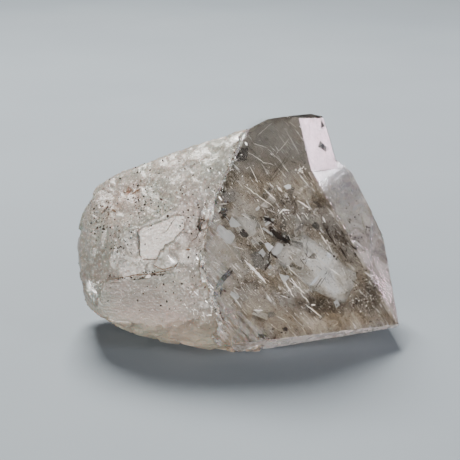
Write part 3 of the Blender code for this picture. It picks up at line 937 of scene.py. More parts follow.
def clouding(spot, planes):
    """How clouded the crystal is at a point in mm, from 0 for clear to 1."""
    outside = max((spot - foot).dot(outward) for name, outward, foot in planes if name in CLEAR_FACES)
    # The border wavers by about a millimetre, and the thinner haze by several.
    waver = 0.9 * noise.noise(spot / 2.5) + 0.4 * noise.noise(spot / 0.8)
    full = smooth_step(CLOUDING_STARTS, CLOUDING_DONE, outside + waver * min(1.0, max(0.0, outside * 3)))
    along = spot.x + 4.0 * noise.noise(spot / 5.0) + 2.0 * noise.noise(spot / 1.3)
    along -= HAZE_SHIFT * smooth_step(*HAZE_LOW, spot.z)
    haze = HAZE_MOST * smooth_step(*HAZE_ALONG, along) * smooth_step(*HAZE_HEIGHTS, spot.z)
    return max(full, haze * (0.8 + 0.6 * noise.noise(spot / 1.2)))


def share_at(spot, spots):
    """How much a point takes of the round spots near it, each with an uneven rim."""
    amount = 0.0
    for middle, reach, strength in spots:
        away = (spot - middle).length / MM * (1 + 0.9 * noise.noise(spot / (0.8 * MM)))
        amount = max(amount, strength * smooth_step(reach, 0.2 * reach, away))
    return amount


def mark_faces(mesh, name, values):
    """Stores one number for each face of the mesh."""
    mesh.attributes.new(name, "FLOAT", "FACE").data.foreach_set("value", values)


def mark_surface(mesh, planes, labels):
    """Stores how clouded each point is, and how etched, rough, white and hatched each face is. The white is
    partly a painted highlight and the pits' dark is painted shade.
    """
    clouded = mesh.attributes.new("clouded", "FLOAT", "POINT")
    clouded.data.foreach_set("value", [clouding(v.co / MM, planes) for v in mesh.vertices])
    for name, spots in (("stained", STAINS), ("chalk_and_glint", CHALK_AND_GLINT_SPOTS)):
        spots = [(seen(*place)[0], reach, strength) for place, reach, strength in spots]
        values = [share_at(v.co, spots) for v in mesh.vertices]
        mesh.attributes.new(name, "FLOAT", "POINT").data.foreach_set("value", values)
    names = ["worn"] + [name for name, _, _ in planes] + ["pit"]
    kinds = [names[number] for number in labels]
    centres = [face.center.copy() for face in mesh.polygons]
    mark_faces(mesh, "rough", [ROUGH.get(kind, 0.0) for kind in kinds])
    mark_faces(mesh, "patch", [float(kind == "patch") for kind in kinds])

    etched = [ETCHED.get(kind, 0.0) for kind in kinds]
    _, flank_up = upright(direction(*HEAD_FACES["flank"][:2]))
    fade_from = seen(*WHITE_HIGHLIGHT_FADE[0])[0]
    hatch_middle = seen(*HATCH[0])[0]
    whiteness_and_highlight, hatch_and_pit_shade = [], []
    for i, (kind, centre) in enumerate(zip(kinds, centres)):
        white, hatch = WHITE_AND_HIGHLIGHT.get(kind, WHITE_ELSEWHERE), PIT_MARK * (kind == "pit")
        if kind in HATCH_FACES:
            # The flank's white top is a painted highlight.
            lower = (fade_from - centre).dot(flank_up) / MM
            white = max(white, smooth_step(WHITE_HIGHLIGHT_FADE[1], 0.0, lower) * (kind == "flank"))
            away = (centre - hatch_middle).length / MM
            hatch = HATCH_MOST * smooth_step(HATCH[1], 0.3 * HATCH[1], away)
            etched[i] = max(etched[i], white)
        whiteness_and_highlight.append(white)
        hatch_and_pit_shade.append(hatch)
    mark_faces(mesh, "etched", etched)
    mark_faces(mesh, "whiteness_and_highlight", whiteness_and_highlight)
    mark_faces(mesh, "hatch_and_pit_shade", hatch_and_pit_shade)
    for face, number in zip(mesh.polygons, labels):
        face.use_smooth = number == 0


class CRYSTAL_OT_body(bpy.types.Operator):
    """Makes the crystal's fine outer surface over its solid"""

    bl_idname = "crystal.body"
    bl_label = "Crystal body"

    def execute(self, context):
        look = context.scene.crystal_look
        shape = solid_shape()
        shape.normal_update()
        planes = named_planes()
        label = name_faces(shape, planes)
        divide(shape, look.facet_length)
        chip_edges(shape, label, look.chip_depth, len(planes) + 1)
        # Unless it is seeded, the noise that leans the facets differs from run to run.
        noise.seed_set(look.break_seed)
        wear(shape, label, look.wear_height)
        labels = [face[label] for face in shape.faces]
        shape.faces.layers.int.remove(label)
        body = new_piece("crystal_body", shape, quartz_material(look))
        mark_surface(body.data, planes, labels)
        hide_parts(NODE)
        return {"FINISHED"}


# What is inside


def window_share(right, up):
    """How far inside the clear window a place in the front view is, from 0 outside to 1 well within."""
    corners = [Vector(corner) for corner in WINDOW]
    inner = []
    for a, b in zip(corners, corners[1:] + corners[:1]):
        edge = (b - a).normalized()
        inner.append((right - a.x) * edge.y - (up - a.y) * edge.x)
    return smooth_step(-0.4, 0.6, min(inner))


def smoke_share(right, up):
    """How smoky the haze is at a place in the front view, from the clouds of smoke there."""
    most = 0.0
    for (middle_right, middle_up), _, (half_along, half_across, _), turn, density in SMOKE.values():
        away = Vector((right - middle_right, up - middle_up))
        away.rotate(Matrix.Rotation(-math.radians(turn), 2))
        reach = math.hypot(away.x / half_along, away.y / half_across)
        most = max(most, smooth_step(1.35, 0.35, reach) * min(1.0, 0.35 + density / 600))
    return most


def face_sheet(wanted):
    """One named face of the solid alone, finely divided."""
    planes = named_planes()
    shape = solid_shape()
    label = name_faces(shape, planes)
    number = [name for name, _, _ in planes].index(wanted) + 1
    others = [face for face in shape.faces if face[label] != number]
    bmesh.ops.delete(shape, geom=others, context="FACES")
    shape.faces.layers.int.remove(label)
    divide(shape, VEIL_EDGE * MM)
    return shape


def veil(name, face_name, depth, opaque, openness, material):
    """Makes one wavy sheet of haze behind a whole face, with its window and its smoky places."""
    shape = face_sheet(face_name)
    outward = direction(*(CLEAR_FACES | HEAD_FACES)[face_name][:2])
    haze, smoky, calm, milky = (
        shape.verts.layers.float.new(name) for name in ("haze", "smoky", "calm", "milky")
    )
    streak = shape.verts.layers.float_vector.new("streak")
    turn = Matrix.Rotation(-math.radians(STREAK_HEADING), 2)
    for vert in shape.verts:
        right, up = in_view(vert.co)
        vert[haze] = opaque * (1 - openness * window_share(right, up))
        vert[smoky] = smoke_share(right, up)
        waver = 2.5 * noise.noise(Vector((right / 4, up / 4, 0)))
        vert[calm] = smooth_step(*CALM_TOP, up + waver) if face_name == "front" else 0.35
        vert[milky] = smooth_step(*MILKY_ACROSS, right + waver) * smooth_step(*MILKY_UP, up + waver)
        along, across = turn @ Vector((right, up))
        vert[streak] = (along, across, depth)
        wave = 0.8 * noise.noise(Vector((right / 6, up / 6, depth)))
        vert.co = below(vert.co, outward, depth + wave)
    new_piece("veil_" + name, shape, material, smooth=True)


def haze_material():
    """Healed cracks full of fluid specks: a grey-beige film, streaked, that hides part of what is behind."""
    material, tree = new_material("healed_crack_film")
    haze, smoky, calm, milky = (
        node(tree, "ShaderNodeAttribute", attribute_name=name).outputs["Fac"]
        for name in ("haze", "smoky", "calm", "milky")
    )
    streak = node(tree, "ShaderNodeAttribute", attribute_name="streak").outputs["Vector"]
    # The attribute is in mm. Grit of 0.45 mm stands in for specks ten times finer, which would not show.
    grit = node(
        tree, "ShaderNodeTexNoise", {"Scale": 1 / 0.45, "Detail": 2.0, "Roughness": 0.6}, {"Vector": streak}
    )
    # Streaks are about 0.7 mm wide and 4 mm long, and clots 3.6 mm wide and 6 mm long.
    patterns = (
        ((1 / 4.0, 1 / 0.7, 1 / 2.0), {"Scale": 1.0, "Detail": 6.0, "Roughness": 0.65, "Distortion": 0.4}),
        ((1 / 6.0, 1 / 3.6, 1 / 3.0), {"Scale": 1.0, "Detail": 5.0, "Roughness": 0.54, "Distortion": 1.0}),
    )
    streaks, clots = (
        node(
            tree, "ShaderNodeTexNoise", settings,
            {"Vector": node(tree, "ShaderNodeMapping", {"Scale": scale}, {"Vector": streak})},
        )
        for scale, settings in patterns
    )

    # The film is darker where smoke is, milky at the left, gritty, and calmer and greyer at the top.
    colour = node(tree, "ShaderNodeValToRGB", links={"Fac": clots})
    set_stops(colour.color_ramp, ((0.36, "#a0937f"), (0.5, "#d9cfc0"), (0.66, "#fbf7f0")))
    smoke_spread = node(tree, "ShaderNodeMapRange", {1: 0.30, 2: 0.62, 3: 1.3, 4: 0.2}, {0: clots})
    smoke = node(
        tree, "ShaderNodeMath", {}, {0: smoky, 1: smoke_spread}, operation="MULTIPLY", use_clamp=True
    )
    milk_share = node(tree, "ShaderNodeMath", {1: 0.75}, {0: milky}, operation="MULTIPLY")
    dark_grit = node(tree, "ShaderNodeMapRange", {1: 0.28, 2: 0.42, 3: 0.8, 4: 0.0}, {0: grit})
    light_grit = node(tree, "ShaderNodeMapRange", {1: 0.58, 2: 0.70, 3: 0.0, 4: 0.8}, {0: grit})
    calm_share = node(tree, "ShaderNodeMath", {1: 0.8}, {0: calm}, operation="MULTIPLY")
    white = node(tree, "ShaderNodeMapRange", {1: 0.60, 2: 0.68, 3: 0.0, 4: 1.0}, {0: streaks})
    layers = (
        ("#4a372c", smoke),
        ("#b7aca0", milk_share),
        ("#332b25", dark_grit),
        ("#fffdf8", light_grit),
        ("#bfbcb6", calm_share),
        ("#ffffff", white),
    )
    for tone, share in layers:
        colour = node(tree, "ShaderNodeMix", {7: linear(tone)}, {0: share, 6: colour}, data_type="RGBA")

    # It hides more where it is clotted, milky, smoky or streaked.
    patchy = node(tree, "ShaderNodeMapRange", {1: 0.32, 2: 0.62, 3: 0.45, 4: 1.15}, {0: clots})
    cover = node(tree, "ShaderNodeMath", {}, {0: haze, 1: patchy}, operation="MULTIPLY")
    for source in (milky, smoke):
        cover = node(tree, "ShaderNodeMath", {1: 0.5}, {0: source, 2: cover}, operation="MULTIPLY_ADD")
    white_cover = node(tree, "ShaderNodeMath", {1: 0.6}, {0: white}, operation="MULTIPLY")
    cover = node(tree, "ShaderNodeMath", {}, {0: cover, 1: white_cover}, operation="ADD", use_clamp=True)
    through = node(tree, "ShaderNodeMath", {0: 1.0}, {1: cover}, operation="SUBTRACT")
    surface = node(
        tree, "ShaderNodeBsdfPrincipled", {"IOR": 1.0, "Roughness": 0.0},
        {"Base Color": colour, "Transmission Weight": through},
    )
    node(tree, "ShaderNodeOutputMaterial", {}, {"Surface": surface})
    return material


def crossing_veil(name, plane, opaque, material):
    """Makes one sheet of haze where a plane cuts through the crystal."""
    outward = direction(*plane[:2])
    foot = (CLEAR_MIDDLE + outward * plane[2]) * MM
    shape = solid_shape()
    parts = [*shape.verts, *shape.edges, *shape.faces]
    bmesh.ops.bisect_plane(
        shape, geom=parts, plane_co=foot, plane_no=outward, clear_inner=True, clear_outer=True
    )
    bmesh.ops.holes_fill(shape, edges=shape.edges, sides=0)
    bmesh.ops.triangulate(shape, faces=shape.faces)
    divide(shape, CROSSING_EDGE * MM)
    middle = sum((vert.co for vert in shape.verts), Vector()) / len(shape.verts)
    haze, smoky = (shape.verts.layers.float.new(name) for name in ("haze", "smoky"))
    streak = shape.verts.layers.float_vector.new("streak")
    for vert in shape.verts:
        vert.co = middle.lerp(vert.co, 0.93) + outward * 0.7 * MM * noise.noise(vert.co / (5 * MM))
        vert[haze] = opaque
        vert[smoky] = 0.5 * smooth_step(0.1, 0.5, noise.noise(vert.co / (7 * MM)))
        vert[streak] = vert.co / MM
    new_piece("veil_" + name, shape, material, smooth=True)


class CRYSTAL_OT_veils(bpy.types.Operator):
    """Makes the hazy veils inside the clear end"""

    bl_idname = "crystal.veils"
    bl_label = "Veils of haze"

    def execute(self, context):
        material = haze_material()
        for name, settings in VEILS.items():
            veil(name, *settings, material)
        for name, (plane, opaque) in CROSSING_VEILS.items():
            crossing_veil(name, plane, opaque, material)
        return {"FINISHED"}


def lens(shape, points, width, across, thickness):
    """Adds a closed sliver along points: pointed at its ends, widest in the middle, thin all along."""
    ends = len(points) - 1
    rings = []
    for i, point in enumerate(points[1:-1], 1):
        share = math.sin(math.pi * i / ends) ** 0.7 * (1 + 0.6 * noise.noise(point / (0.5 * MM)))
        side = across * (width * share / 2)
        along = (points[i + 1] - points[i - 1]).normalized()
        lift = side.cross(along).normalized() * (thickness / 2)
        rings.append([shape.verts.new(point + move) for move in (side, lift, -side, -lift)])
    first, last = shape.verts.new(points[0]), shape.verts.new(points[-1])
    for k in range(4):
        shape.faces.new((first, rings[0][k], rings[0][k - 3]))
        shape.faces.new((last, rings[-1][k - 3], rings[-1][k]))
        for ring, following in zip(rings, rings[1:]):
            shape.faces.new((ring[k], following[k], following[k - 3], ring[k - 3]))


def stroke(points, steps):
    """Points along a broken line, evenly spaced by length, ends included."""
    lengths = [0.0]
    for a, b in zip(points, points[1:]):
        lengths.append(lengths[-1] + (b - a).length)
    found = []
    leg = 0
    for i in range(steps + 1):
        want = lengths[-1] * i / steps
        while leg < len(points) - 2 and lengths[leg + 1] < want:
            leg += 1
        share = (want - lengths[leg]) / (lengths[leg + 1] - lengths[leg])
        found.append(points[leg].lerp(points[leg + 1], share))
    return found


def crack(shape, places, width, depth, spread, rng):
    """Adds one crack where the camera sees these places. Its plane leans at random by up to the spread."""
    spots = [seen(right, up, depth) for right, up in places]
    outward = spots[0][1]
    points = stroke([spot for spot, _ in spots], 4 + 3 * len(places))
    along = (points[-1] - points[0]).normalized()
    across = along.cross(outward).normalized()
    across.rotate(Matrix.Rotation(rng.uniform(-spread, spread), 3, along))
    size = (points[-1] - points[0]).length
    for i in range(1, len(points) - 1):
        points[i] = points[i] + across * rng.uniform(-0.02, 0.02) * size
    lens(shape, points, width * MM, across, CRACK_THICKNESS * MM)


def flake(shape, spot, outward, heading, length, width):
    """Adds one thin sliver that lies on the surface, its heading in radians above the right."""
    right, up = upright(outward)
    along = right * math.cos(heading) + up * math.sin(heading)
    points = [spot + along * length * (share - 0.5) for share in (0.0, 0.25, 0.5, 0.75, 1.0)]
    lens(shape, points, width, along.cross(outward), FLAKE_THICKNESS * MM)


def clouded_points(count, rng):
    """Points spread over the visible body's clouded part, with its outward direction at each."""
    mesh = bpy.data.objects["crystal_body"].data
    clouded = mesh.attributes["clouded"].data
    found = [v for v in mesh.vertices if clouded[v.index].value > 0.8]
    return [(v.co.copy(), v.normal.copy()) for v in rng.choices(found, k=count)]


def grain(shape, spot, size, rng):
    """Adds one small uneven grain: six corners and eight faces."""
    corners = []
    for axis in range(3):
        for side in (-1, 1):
            reach = [rng.uniform(-0.25, 0.25) for _ in range(3)]
            reach[axis] += side * rng.uniform(0.6, 1.3)
            corners.append(shape.verts.new(spot + Vector(reach) * (size / 2)))
    for a, b, c in ((0, 2, 4), (2, 1, 4), (1, 3, 4), (3, 0, 4), (2, 0, 5), (1, 2, 5), (3, 1, 5), (0, 3, 5)):
        shape.faces.new((corners[a], corners[b], corners[c]))


def crack_film_painted_glow_material():
    """Air film in an open crack: it throws light back like thin silver leaf, brightest face on. Its glow is
    painted light that stands in for what it catches from all round.
    """
    # The emission is painted light: these pieces glow though they are no lamp.
    glow = {"Emission Color": linear("#fffaf2"), "Emission Strength": 0.35}
    finish = {"Roughness": 0.35, "Metallic": 0.35, **glow}
    return mottled_material("air_filled_crack_painted_glow", ("#d9d6d0", "#ffffff"), 0.8, 3.0, finish)


def flake_material():
    """Fresh splinters of clear quartz on the break: pale, with a sharp gloss that glints."""
    finish = {"Roughness": 0.15, "IOR": QUARTZ_IOR}
    return mottled_material("splintered_quartz", ("#8f887f", "#e6e2dc"), 1.5, 2.0, finish, (0.40, 0.62))


def dark_mineral_material(name, dark, light):
    """Black-brown mineral left in cracks and as grains: dull, with rusty variation."""
    return mottled_material(name, (dark, light), 1.1, 4.0, {"Roughness": 0.7, "Specular IOR Level": 0.1})


def plate_material(name, colour_low, colour_high, clearness, roughness, glow):
    """Cleavage plate inside quartz: a satin sheet that dims what is behind it and dies out at its rim.

    The glow stands in for light that reaches it from all round inside the crystal.
    """
    material, tree = new_material(name)
    place = node(tree, "ShaderNodeTexCoord").outputs["Object"]
    rim = node(tree, "ShaderNodeAttribute", attribute_name="rim").outputs["Fac"]
    pattern = {"Scale": per_mm(2.4), "Detail": 6.0, "Roughness": 0.66}
    uneven = node(tree, "ShaderNodeTexNoise", pattern, {"Vector": place})
    colour = node(
        tree, "ShaderNodeMix", {6: linear(colour_low), 7: linear(colour_high)}, {0: uneven}, data_type="RGBA"
    )
    shade = node(tree, "ShaderNodeMix", {7: (0, 0, 0, 1)}, {0: rim, 6: colour}, data_type="RGBA")
    ragged = node(tree, "ShaderNodeMapRange", {1: 0.40, 2: 0.62, 3: -0.4, 4: 0.3}, {0: uneven})
    ragged = node(tree, "ShaderNodeMath", {}, {0: rim, 1: ragged}, operation="ADD", use_clamp=True)
    through = node(tree, "ShaderNodeMapRange", {3: clearness, 4: 0.96}, {0: ragged})
    surface = node(
        tree, "ShaderNodeBsdfPrincipled",
        {"IOR": QUARTZ_IOR, "Roughness": roughness, "Emission Strength": glow},
        {"Base Color": colour, "Transmission Weight": through, "Emission Color": shade},
    )
    node(tree, "ShaderNodeOutputMaterial", {}, {"Surface": surface})
    return material


def thin_plate(shape, spots, outward):
    """Adds a thin closed plate with this outline. Its rim layer is 1 at the outline and 0 further in."""
    rim = shape.verts.layers.float["rim"]
    middle = sum(spots, Vector()) / len(spots)
    edges = []
    half = PLATE_THICKNESS / 2
    for lift in (outward * half * MM, outward * -half * MM):
        rings = []
        for inset, share in ((0.0, 1.0), (0.12, 0.35), (0.30, 0.0)):
            rings.append([shape.verts.new(spot.lerp(middle, inset) + lift) for spot in spots])
            for vert in rings[-1]:
                vert[rim] = share
        centre = shape.verts.new(middle + lift)
        for k in range(len(spots)):
            shape.faces.new((rings[2][k - 1], rings[2][k], centre))
            for outer, inner in zip(rings, rings[1:]):
                shape.faces.new((outer[k - 1], outer[k], inner[k], inner[k - 1]))
        edges.append(rings[0])
    for k in range(len(spots)):
        shape.faces.new((edges[0][k - 1], edges[1][k - 1], edges[1][k], edges[0][k]))


def smoke_material(name, colour, density):
    """Smoky quartz inside clear quartz: nothing at its border, darker the thicker it is."""
    material, tree = new_material(name)
    surface = node(
        tree, "ShaderNodeBsdfPrincipled",
        {"Base Color": (1, 1, 1, 1), "IOR": 1.0, "Roughness": 0.0, "Transmission Weight": 1.0},
    )
    tint = node(tree, "ShaderNodeVolumeAbsorption", {"Color": linear(colour), "Density": density})
    node(tree, "ShaderNodeOutputMaterial", {}, {"Surface": surface, "Volume": tint})
    return material


class CRYSTAL_OT_smoke(bpy.types.Operator):
    """Makes the soft dark clouds inside the clear end"""

    bl_idname = "crystal.smoke"
    bl_label = "Smoke clouds"

    def execute(self, context):
        for name, (place, depth, halves, turn, density) in SMOKE.items():
            spot, outward = seen(*place, depth)
            right, up = upright(outward)
            shape = bmesh.new()
            bmesh.ops.create_icosphere(shape, subdivisions=4, radius=1.0)
            for vert in shape.verts:
                broad = noise.noise(vert.co * 1.6 + spot / MM)
                fine = noise.noise(vert.co * 4 + spot / MM)
                vert.co *= 1 + 0.35 * broad + 0.25 * fine
            axes = Matrix((right, up, outward)).transposed()
            turned = axes @ Matrix.Rotation(math.radians(turn), 3, "Z") @ Matrix.Diagonal(Vector(halves) * MM)
            bmesh.ops.transform(shape, matrix=Matrix.Translation(spot) @ turned.to_4x4(), verts=shape.verts)
            material = smoke_material("smoky_quartz_" + name, SMOKE_COLOUR, density)
            new_piece("smoke_" + name, shape, material, smooth=True)
        return {"FINISHED"}


class CRYSTAL_OT_plates(bpy.types.Operator):
    """Makes the flat cleavage plates inside the clear end"""

    bl_idname = "crystal.plates"
    bl_label = "Cleavage plates"

    def execute(self, context):
        finishes = {
            name: plate_material("cleaved_quartz_" + name, *finish) for name, finish in FINISHES.items()
        }
        inside = context.scene.crystal_inside
        rng = random.Random(inside.seed + 4)
        shapes = {name: bmesh.new() for name in (*PLATES, *("shards_" + finish for finish in FINISHES))}
        for shape in shapes.values():
            shape.verts.layers.float.new("rim")
        for name, (corners, depth, _) in PLATES.items():
            closed = [Vector((*corner, 0)) for corner in (*corners, corners[0])]
            outline = stroke(closed, 5 * len(corners))
            jagged = [[rng.gauss(part, PLATE_JAG) for part in place.xy] for place in outline[:-1]]
            spots = [seen(right, up, depth) for right, up in jagged]
            thin_plate(shapes[name], [spot for spot, _ in spots], spots[0][1])
        # Small angular shards lie between the plates, along the streaks or square to them.
        for _ in range(inside.shards):
            middle = Vector([rng.gauss(place, SHARD_SCATTER) for place in SHARD_MIDDLE])
            heading = math.radians(STREAK_HEADING + rng.choice((0, 90)) + rng.gauss(0, 12))
            along = Vector((math.cos(heading), math.sin(heading))) * rng.uniform(0.5, 1.7)
            across = along.orthogonal().normalized() * rng.uniform(0.25, 0.9)
            depth = rng.uniform(1.0, 6.0)
            try:
                spots = []
                for ahead, aside in SHARD_OUTLINE:
                    corner = middle + along * rng.gauss(ahead, 0.25) + across * rng.gauss(aside, 0.25)
                    spots.append(seen(corner.x, corner.y, depth + rng.uniform(-0.4, 0.4)))
            except ValueError:
                continue
            finish = rng.choices(list(finishes), SHARD_SHARES)[0]
            thin_plate(shapes["shards_" + finish], [spot for spot, _ in spots], spots[0][1])
        for name, shape in shapes.items():
            bmesh.ops.triangulate(shape, faces=shape.faces)
            bmesh.ops.recalc_face_normals(shape, faces=shape.faces)
            finish = PLATES[name][2] if name in PLATES else name.removeprefix("shards_")
            new_piece("plate_" + name, shape, finishes[finish])
        return {"FINISHED"}


def in_clear_end(right, up):
    """Whether a place in the front view is within the clear end, whose top slopes down to the right."""
    return -4 < right < 31 and -23 < up < 18 - 1.1 * max(0.0, right - 12)


class CRYSTAL_OT_cracks(bpy.types.Operator):
    """Makes the bright and dark cracks, and the small slivers between them"""

    bl_idname = "crystal.cracks"
    bl_label = "Cracks"

    def execute(self, context):
        inside = context.scene.crystal_inside
        rng = random.Random(inside.seed)
        bright, dark = bmesh.new(), bmesh.new()
        for places, width, depth in BRIGHT_CRACKS:
            crack(bright, places, width, depth, 0.5, rng)
        for places, width, depth in DARK_CRACKS:
            crack(dark, places, width, depth, 0.3, rng)
        # Small slivers run down to the right, as the long cracks do, and crowd towards the middle.
        for shape, count, most in ((bright, inside.slivers, 0.21), (dark, inside.dark_slivers, 0.30)):
            for _ in range(count):
                right, up = (rng.gauss(place, SLIVER_SCATTER) for place in SLIVER_MIDDLE)
                if not in_clear_end(right, up):
                    continue
                length = 0.4 + 2.2 * rng.random() ** 2
                heading = math.radians(rng.gauss(*SLIVER_HEADING))
                end = (right + length * math.cos(heading), up + length * math.sin(heading))
                width = SLIVER_WIDTH + (most - SLIVER_WIDTH) * rng.random() ** 3
                try:
                    crack(shape, ((right, up), end), width, rng.uniform(0.8, 6.0), 1.0, rng)
                except ValueError:
                    continue
        for shape in (bright, dark):
            bmesh.ops.recalc_face_normals(shape, faces=shape.faces)
        new_piece("bright_cracks", bright, crack_film_painted_glow_material())
        new_piece("dark_cracks", dark, dark_mineral_material("graphite_in_crack", "#0e0b0a", "#372d27"))
        return {"FINISHED"}


def scatter(rng, place, halves, count, depths=(0.0, 0.0), turn=0.0, surface=SOLID):
    """Points round a place in the front view, thickest at its middle, each with its outward direction.

    The half sizes are in mm and turned by an angle in degrees. Points beside the crystal are left out.
    """
    found = []
    for _ in range(count):
        away = Vector((rng.gauss(0, halves[0] / 1.7), rng.gauss(0, halves[1] / 1.7)))
        away.rotate(Matrix.Rotation(math.radians(turn), 2))
        try:
            found.append(seen(place[0] + away.x, place[1] + away.y, rng.uniform(*depths), surface))
        except ValueError:
            continue
    return found


def uneven_size(rng, least, most):
    """A random size in metres between two in mm, more often near the least."""
    return (least + (most - least) * rng.random() ** 2.2) * MM


class CRYSTAL_OT_grains(bpy.types.Operator):
    """Makes the dark grains, bright crumbs and pale dust inside the clear end"""

    bl_idname = "crystal.grains"
    bl_label = "Grains and dust"

    def execute(self, context):
        inside = context.scene.crystal_inside
        rng = random.Random(inside.seed + 1)
        dark, pale = bmesh.new(), bmesh.new()
        for place, depth, halves, turn, count, sizes in DARK_KNOTS:
            for spot, _ in scatter(rng, place, halves, count, (depth - 0.4, depth + 1.2), turn):
                grain(dark, spot, uneven_size(rng, *sizes), rng)
        for place, depth, halves, count, sizes in BRIGHT_CRUMBS:
            for spot, _ in scatter(rng, place, halves, count, (depth - 0.3, depth + 1.5)):
                grain(pale, spot, uneven_size(rng, *sizes), rng)
        for shape, count, sizes in ((dark, inside.grains, (0.06, 0.30)), (pale, inside.dust, (0.04, 0.14))):
            for spot, _ in scatter(rng, *CLEAR_SPREAD, count, CLEAR_DEPTHS):
                grain(shape, spot, uneven_size(rng, *sizes), rng)
        new_piece("dark_grains", dark, dark_mineral_material("brown_mineral_grain", "#17110e", "#523f32"))
        # The crumbs and dust take the crack film, whose glow is painted light.
        new_piece("pale_dust", pale, crack_film_painted_glow_material())
        return {"FINISHED"}


class CRYSTAL_OT_specks(bpy.types.Operator):
    """Makes the black specks, the glinting flakes and the painted glints on the clouded end"""

    bl_idname = "crystal.specks"
    bl_label = "Specks and flakes"

    def execute(self, context):
        inside = context.scene.crystal_inside
        rng = random.Random(inside.seed + 3)
        worn = tree_of(bpy.data.objects["crystal_body"].data)
        specks, flakes = bmesh.new(), bmesh.new()
        for place, halves, count in SPECK_CROWDS:
            for spot, _ in scatter(rng, place, halves, count, surface=worn):
                grain(specks, spot, uneven_size(rng, 0.16, 0.66), rng)
        for spot, _ in clouded_points(inside.specks, rng):
            grain(specks, spot, uneven_size(rng, 0.12, 0.45), rng)
        for place, halves, count, longest in FLAKE_CROWDS:
            for spot, outward in scatter(rng, place, halves, count, surface=worn):
                length = uneven_size(rng, 0.2 * longest, longest)
                heading = rng.gauss(FLAKE_HEADING, 0.6)
                flake(flakes, spot, outward, heading, length, rng.uniform(0.03, 0.11) * MM)
        for spot, outward in clouded_points(inside.flakes, rng):
            heading = rng.uniform(-math.pi, math.pi)
            length = uneven_size(rng, 0.12, 0.5)
            flake(flakes, spot, outward, heading, length, rng.uniform(0.04, 0.10) * MM)
        # Painted glints: slivers of the glowing crack film, set where broken edges flash.
        painted_glints = bmesh.new()
        for place, length, width, heading in PAINTED_GLINTS:
            spot, outward = seen(*place, surface=worn)
            flake(painted_glints, spot + outward * 0.05 * MM, outward, math.radians(heading), length * MM, width * MM)
        for place, halves, count in PAINTED_GLINT_CROWDS:
            for spot, outward in scatter(rng, place, halves, count, surface=worn):
                width = rng.uniform(0.05, 0.13) * MM
                heading = rng.gauss(FLAKE_HEADING, 0.5)
                flake(painted_glints, spot, outward, heading, uneven_size(rng, 0.2, 0.8), width)
        # Specks and flakes crowd along the border with the clear end.
        corners = [Vector((right, up, 0)) for right, up in BORDER]
        for place in stroke(corners, BORDER_STEPS):
            for spot, _ in scatter(rng, place, (0.8, 0.8), 1, surface=worn):
                grain(specks, spot, uneven_size(rng, 0.15, 0.60), rng)
            for spot, outward in scatter(rng, place, (0.9, 0.9), 2, surface=worn):
                width = rng.uniform(0.05, 0.20) * MM
                heading = rng.gauss(FLAKE_HEADING, 0.7)
                flake(flakes, spot, outward, heading, uneven_size(rng, 0.2, 1.0), width)
        new_piece("black_specks", specks, dark_mineral_material("black_mineral_speck", "#14110f", "#3b322c"))
        new_piece("bright_flakes", flakes, flake_material())
        new_piece("painted_glints", painted_glints, crack_film_painted_glow_material())
        return {"FINISHED"}


class CRYSTAL_OT_stains(bpy.types.Operator):
    """Makes the dark fillings of the cracks on the clouded end"""

    bl_idname = "crystal.stains"
    bl_label = "Stained cracks"

    def execute(self, context):
        rng = random.Random(context.scene.crystal_inside.seed + 2)
        worn = tree_of(bpy.data.objects["crystal_body"].data)
        shape = bmesh.new()
        for places, width in STAINED_CRACKS:
            flat = [Vector((right, up, 0)) for right, up in places]
            spots = [seen(spot.x, spot.y, surface=worn) for spot in stroke(flat, 14 * len(places))]
            across = (spots[-1][0] - spots[0][0]).cross(spots[0][1]).normalized()
            points = [spot + (across * rng.uniform(-0.08, 0.08) + out * 0.06) * MM for spot, out in spots]
            lens(shape, points, width * MM, across, STAIN_THICKNESS * MM)
        bmesh.ops.recalc_face_normals(shape, faces=shape.faces)
        new_piece("stained_cracks", shape, dark_mineral_material("iron_stain_in_crack", "#2a211b", "#6e5644"))
        return {"FINISHED"}


# The stage


def floor_material():
    """Painted plaster board: matt, pale and slightly blue, with a faint uneven tone."""
    return mottled_material("painted_board_matt", ("#6b737b", "#7b8389"), 120.0, 4.0, {"Roughness": 0.8})


def area_light(name, place, size, power, colour):
    """A soft rectangular light at a place in metres, turned towards the crystal."""
    lamp = bpy.data.lights.new(name, "AREA")
    lamp.shape = "RECTANGLE"
    lamp.size, lamp.size_y = size
    lamp.energy = power
    lamp.color = linear(colour)[:3]
    light = bpy.data.objects.new(name, lamp)
    bpy.context.scene.collection.objects.link(light)
    light.location = place
    aim = VIEW_TARGET * MM - light.location
    light.rotation_euler = aim.to_track_quat("-Z", "Y").to_euler()
    light.visible_camera = False


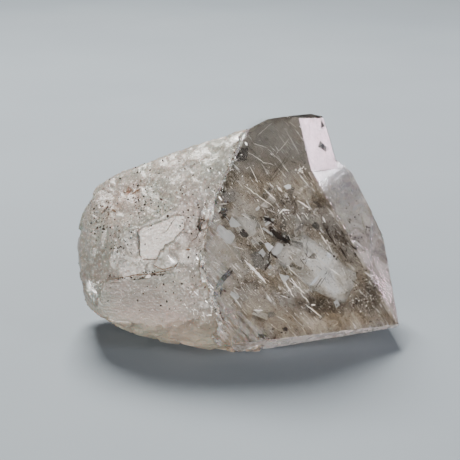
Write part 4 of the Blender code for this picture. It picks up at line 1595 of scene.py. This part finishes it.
class CRYSTAL_OT_stage(bpy.types.Operator):
    """Makes the floor, the lights and the camera"""

    bl_idname = "crystal.stage"
    bl_label = "Stage"

    def execute(self, context):
        stage = context.scene.crystal_stage
        shape = bmesh.new()
        bmesh.ops.create_grid(shape, x_segments=1, y_segments=1, size=stage.floor_size / 2)
        mesh = bpy.data.meshes.new("floor")
        shape.to_mesh(mesh)
        shape.free()
        floor = bpy.data.objects.new("floor", mesh)
        context.scene.collection.objects.link(floor)
        mesh.materials.append(floor_material())

        for name, (place, size, share, colour) in LIGHTS.items():
            area_light(name, place, size, stage.key_power * share, colour)

        world = bpy.data.worlds.new("studio")
        world.use_nodes = True
        room = world.node_tree.nodes["Background"]
        room.inputs["Color"].default_value = linear(ROOM_COLOUR)
        room.inputs["Strength"].default_value = ROOM_STRENGTH
        context.scene.world = world

        camera_data = bpy.data.cameras.new("camera")
        camera_data.lens = VIEW_LENS
        camera_data.sensor_width = 36.0
        camera_data.clip_start = 0.01
        camera = bpy.data.objects.new("camera", camera_data)
        context.scene.collection.objects.link(camera)
        back = direction(0, VIEW_RISE)
        camera.location = (VIEW_TARGET + back * VIEW_DISTANCE) * MM
        camera.rotation_euler = back.to_track_quat("Z", "Y").to_euler()
        context.scene.camera = camera
        return {"FINISHED"}


OPERATORS = (
    CRYSTAL_OT_body,
    CRYSTAL_OT_veils,
    CRYSTAL_OT_smoke,
    CRYSTAL_OT_plates,
    CRYSTAL_OT_cracks,
    CRYSTAL_OT_grains,
    CRYSTAL_OT_specks,
    CRYSTAL_OT_stains,
    CRYSTAL_OT_stage,
)


class CRYSTAL_PT_panel(bpy.types.Panel):
    """Lists the steps that make the crystal"""

    bl_idname = "CRYSTAL_PT_panel"
    bl_label = "Crystal"
    bl_space_type = "VIEW_3D"
    bl_region_type = "UI"
    bl_category = "Crystal"

    def draw(self, context):
        for operator in OPERATORS:
            self.layout.operator(operator.bl_idname)


GROUPS = {"crystal_look": CrystalLook, "crystal_inside": InsideLook, "crystal_stage": StageLook}


def register():
    for group in GROUPS.values():
        bpy.utils.register_class(group)
    for name, group in GROUPS.items():
        setattr(bpy.types.Scene, name, PointerProperty(type=group))
    for kind in (*OPERATORS, CRYSTAL_PT_panel):
        bpy.utils.register_class(kind)


def unregister():
    for kind in (CRYSTAL_PT_panel, *reversed(OPERATORS)):
        bpy.utils.unregister_class(kind)
    for name, group in GROUPS.items():
        delattr(bpy.types.Scene, name)
        bpy.utils.unregister_class(group)


def main():
    register()
    bpy.ops.crystal.body()
    bpy.ops.crystal.veils()
    bpy.ops.crystal.smoke()
    bpy.ops.crystal.plates()
    bpy.ops.crystal.cracks()
    bpy.ops.crystal.grains()
    bpy.ops.crystal.specks()
    bpy.ops.crystal.stains()
    bpy.ops.crystal.stage()
    bpy.context.view_layer.update()


if __name__ == "__main__":
    main()
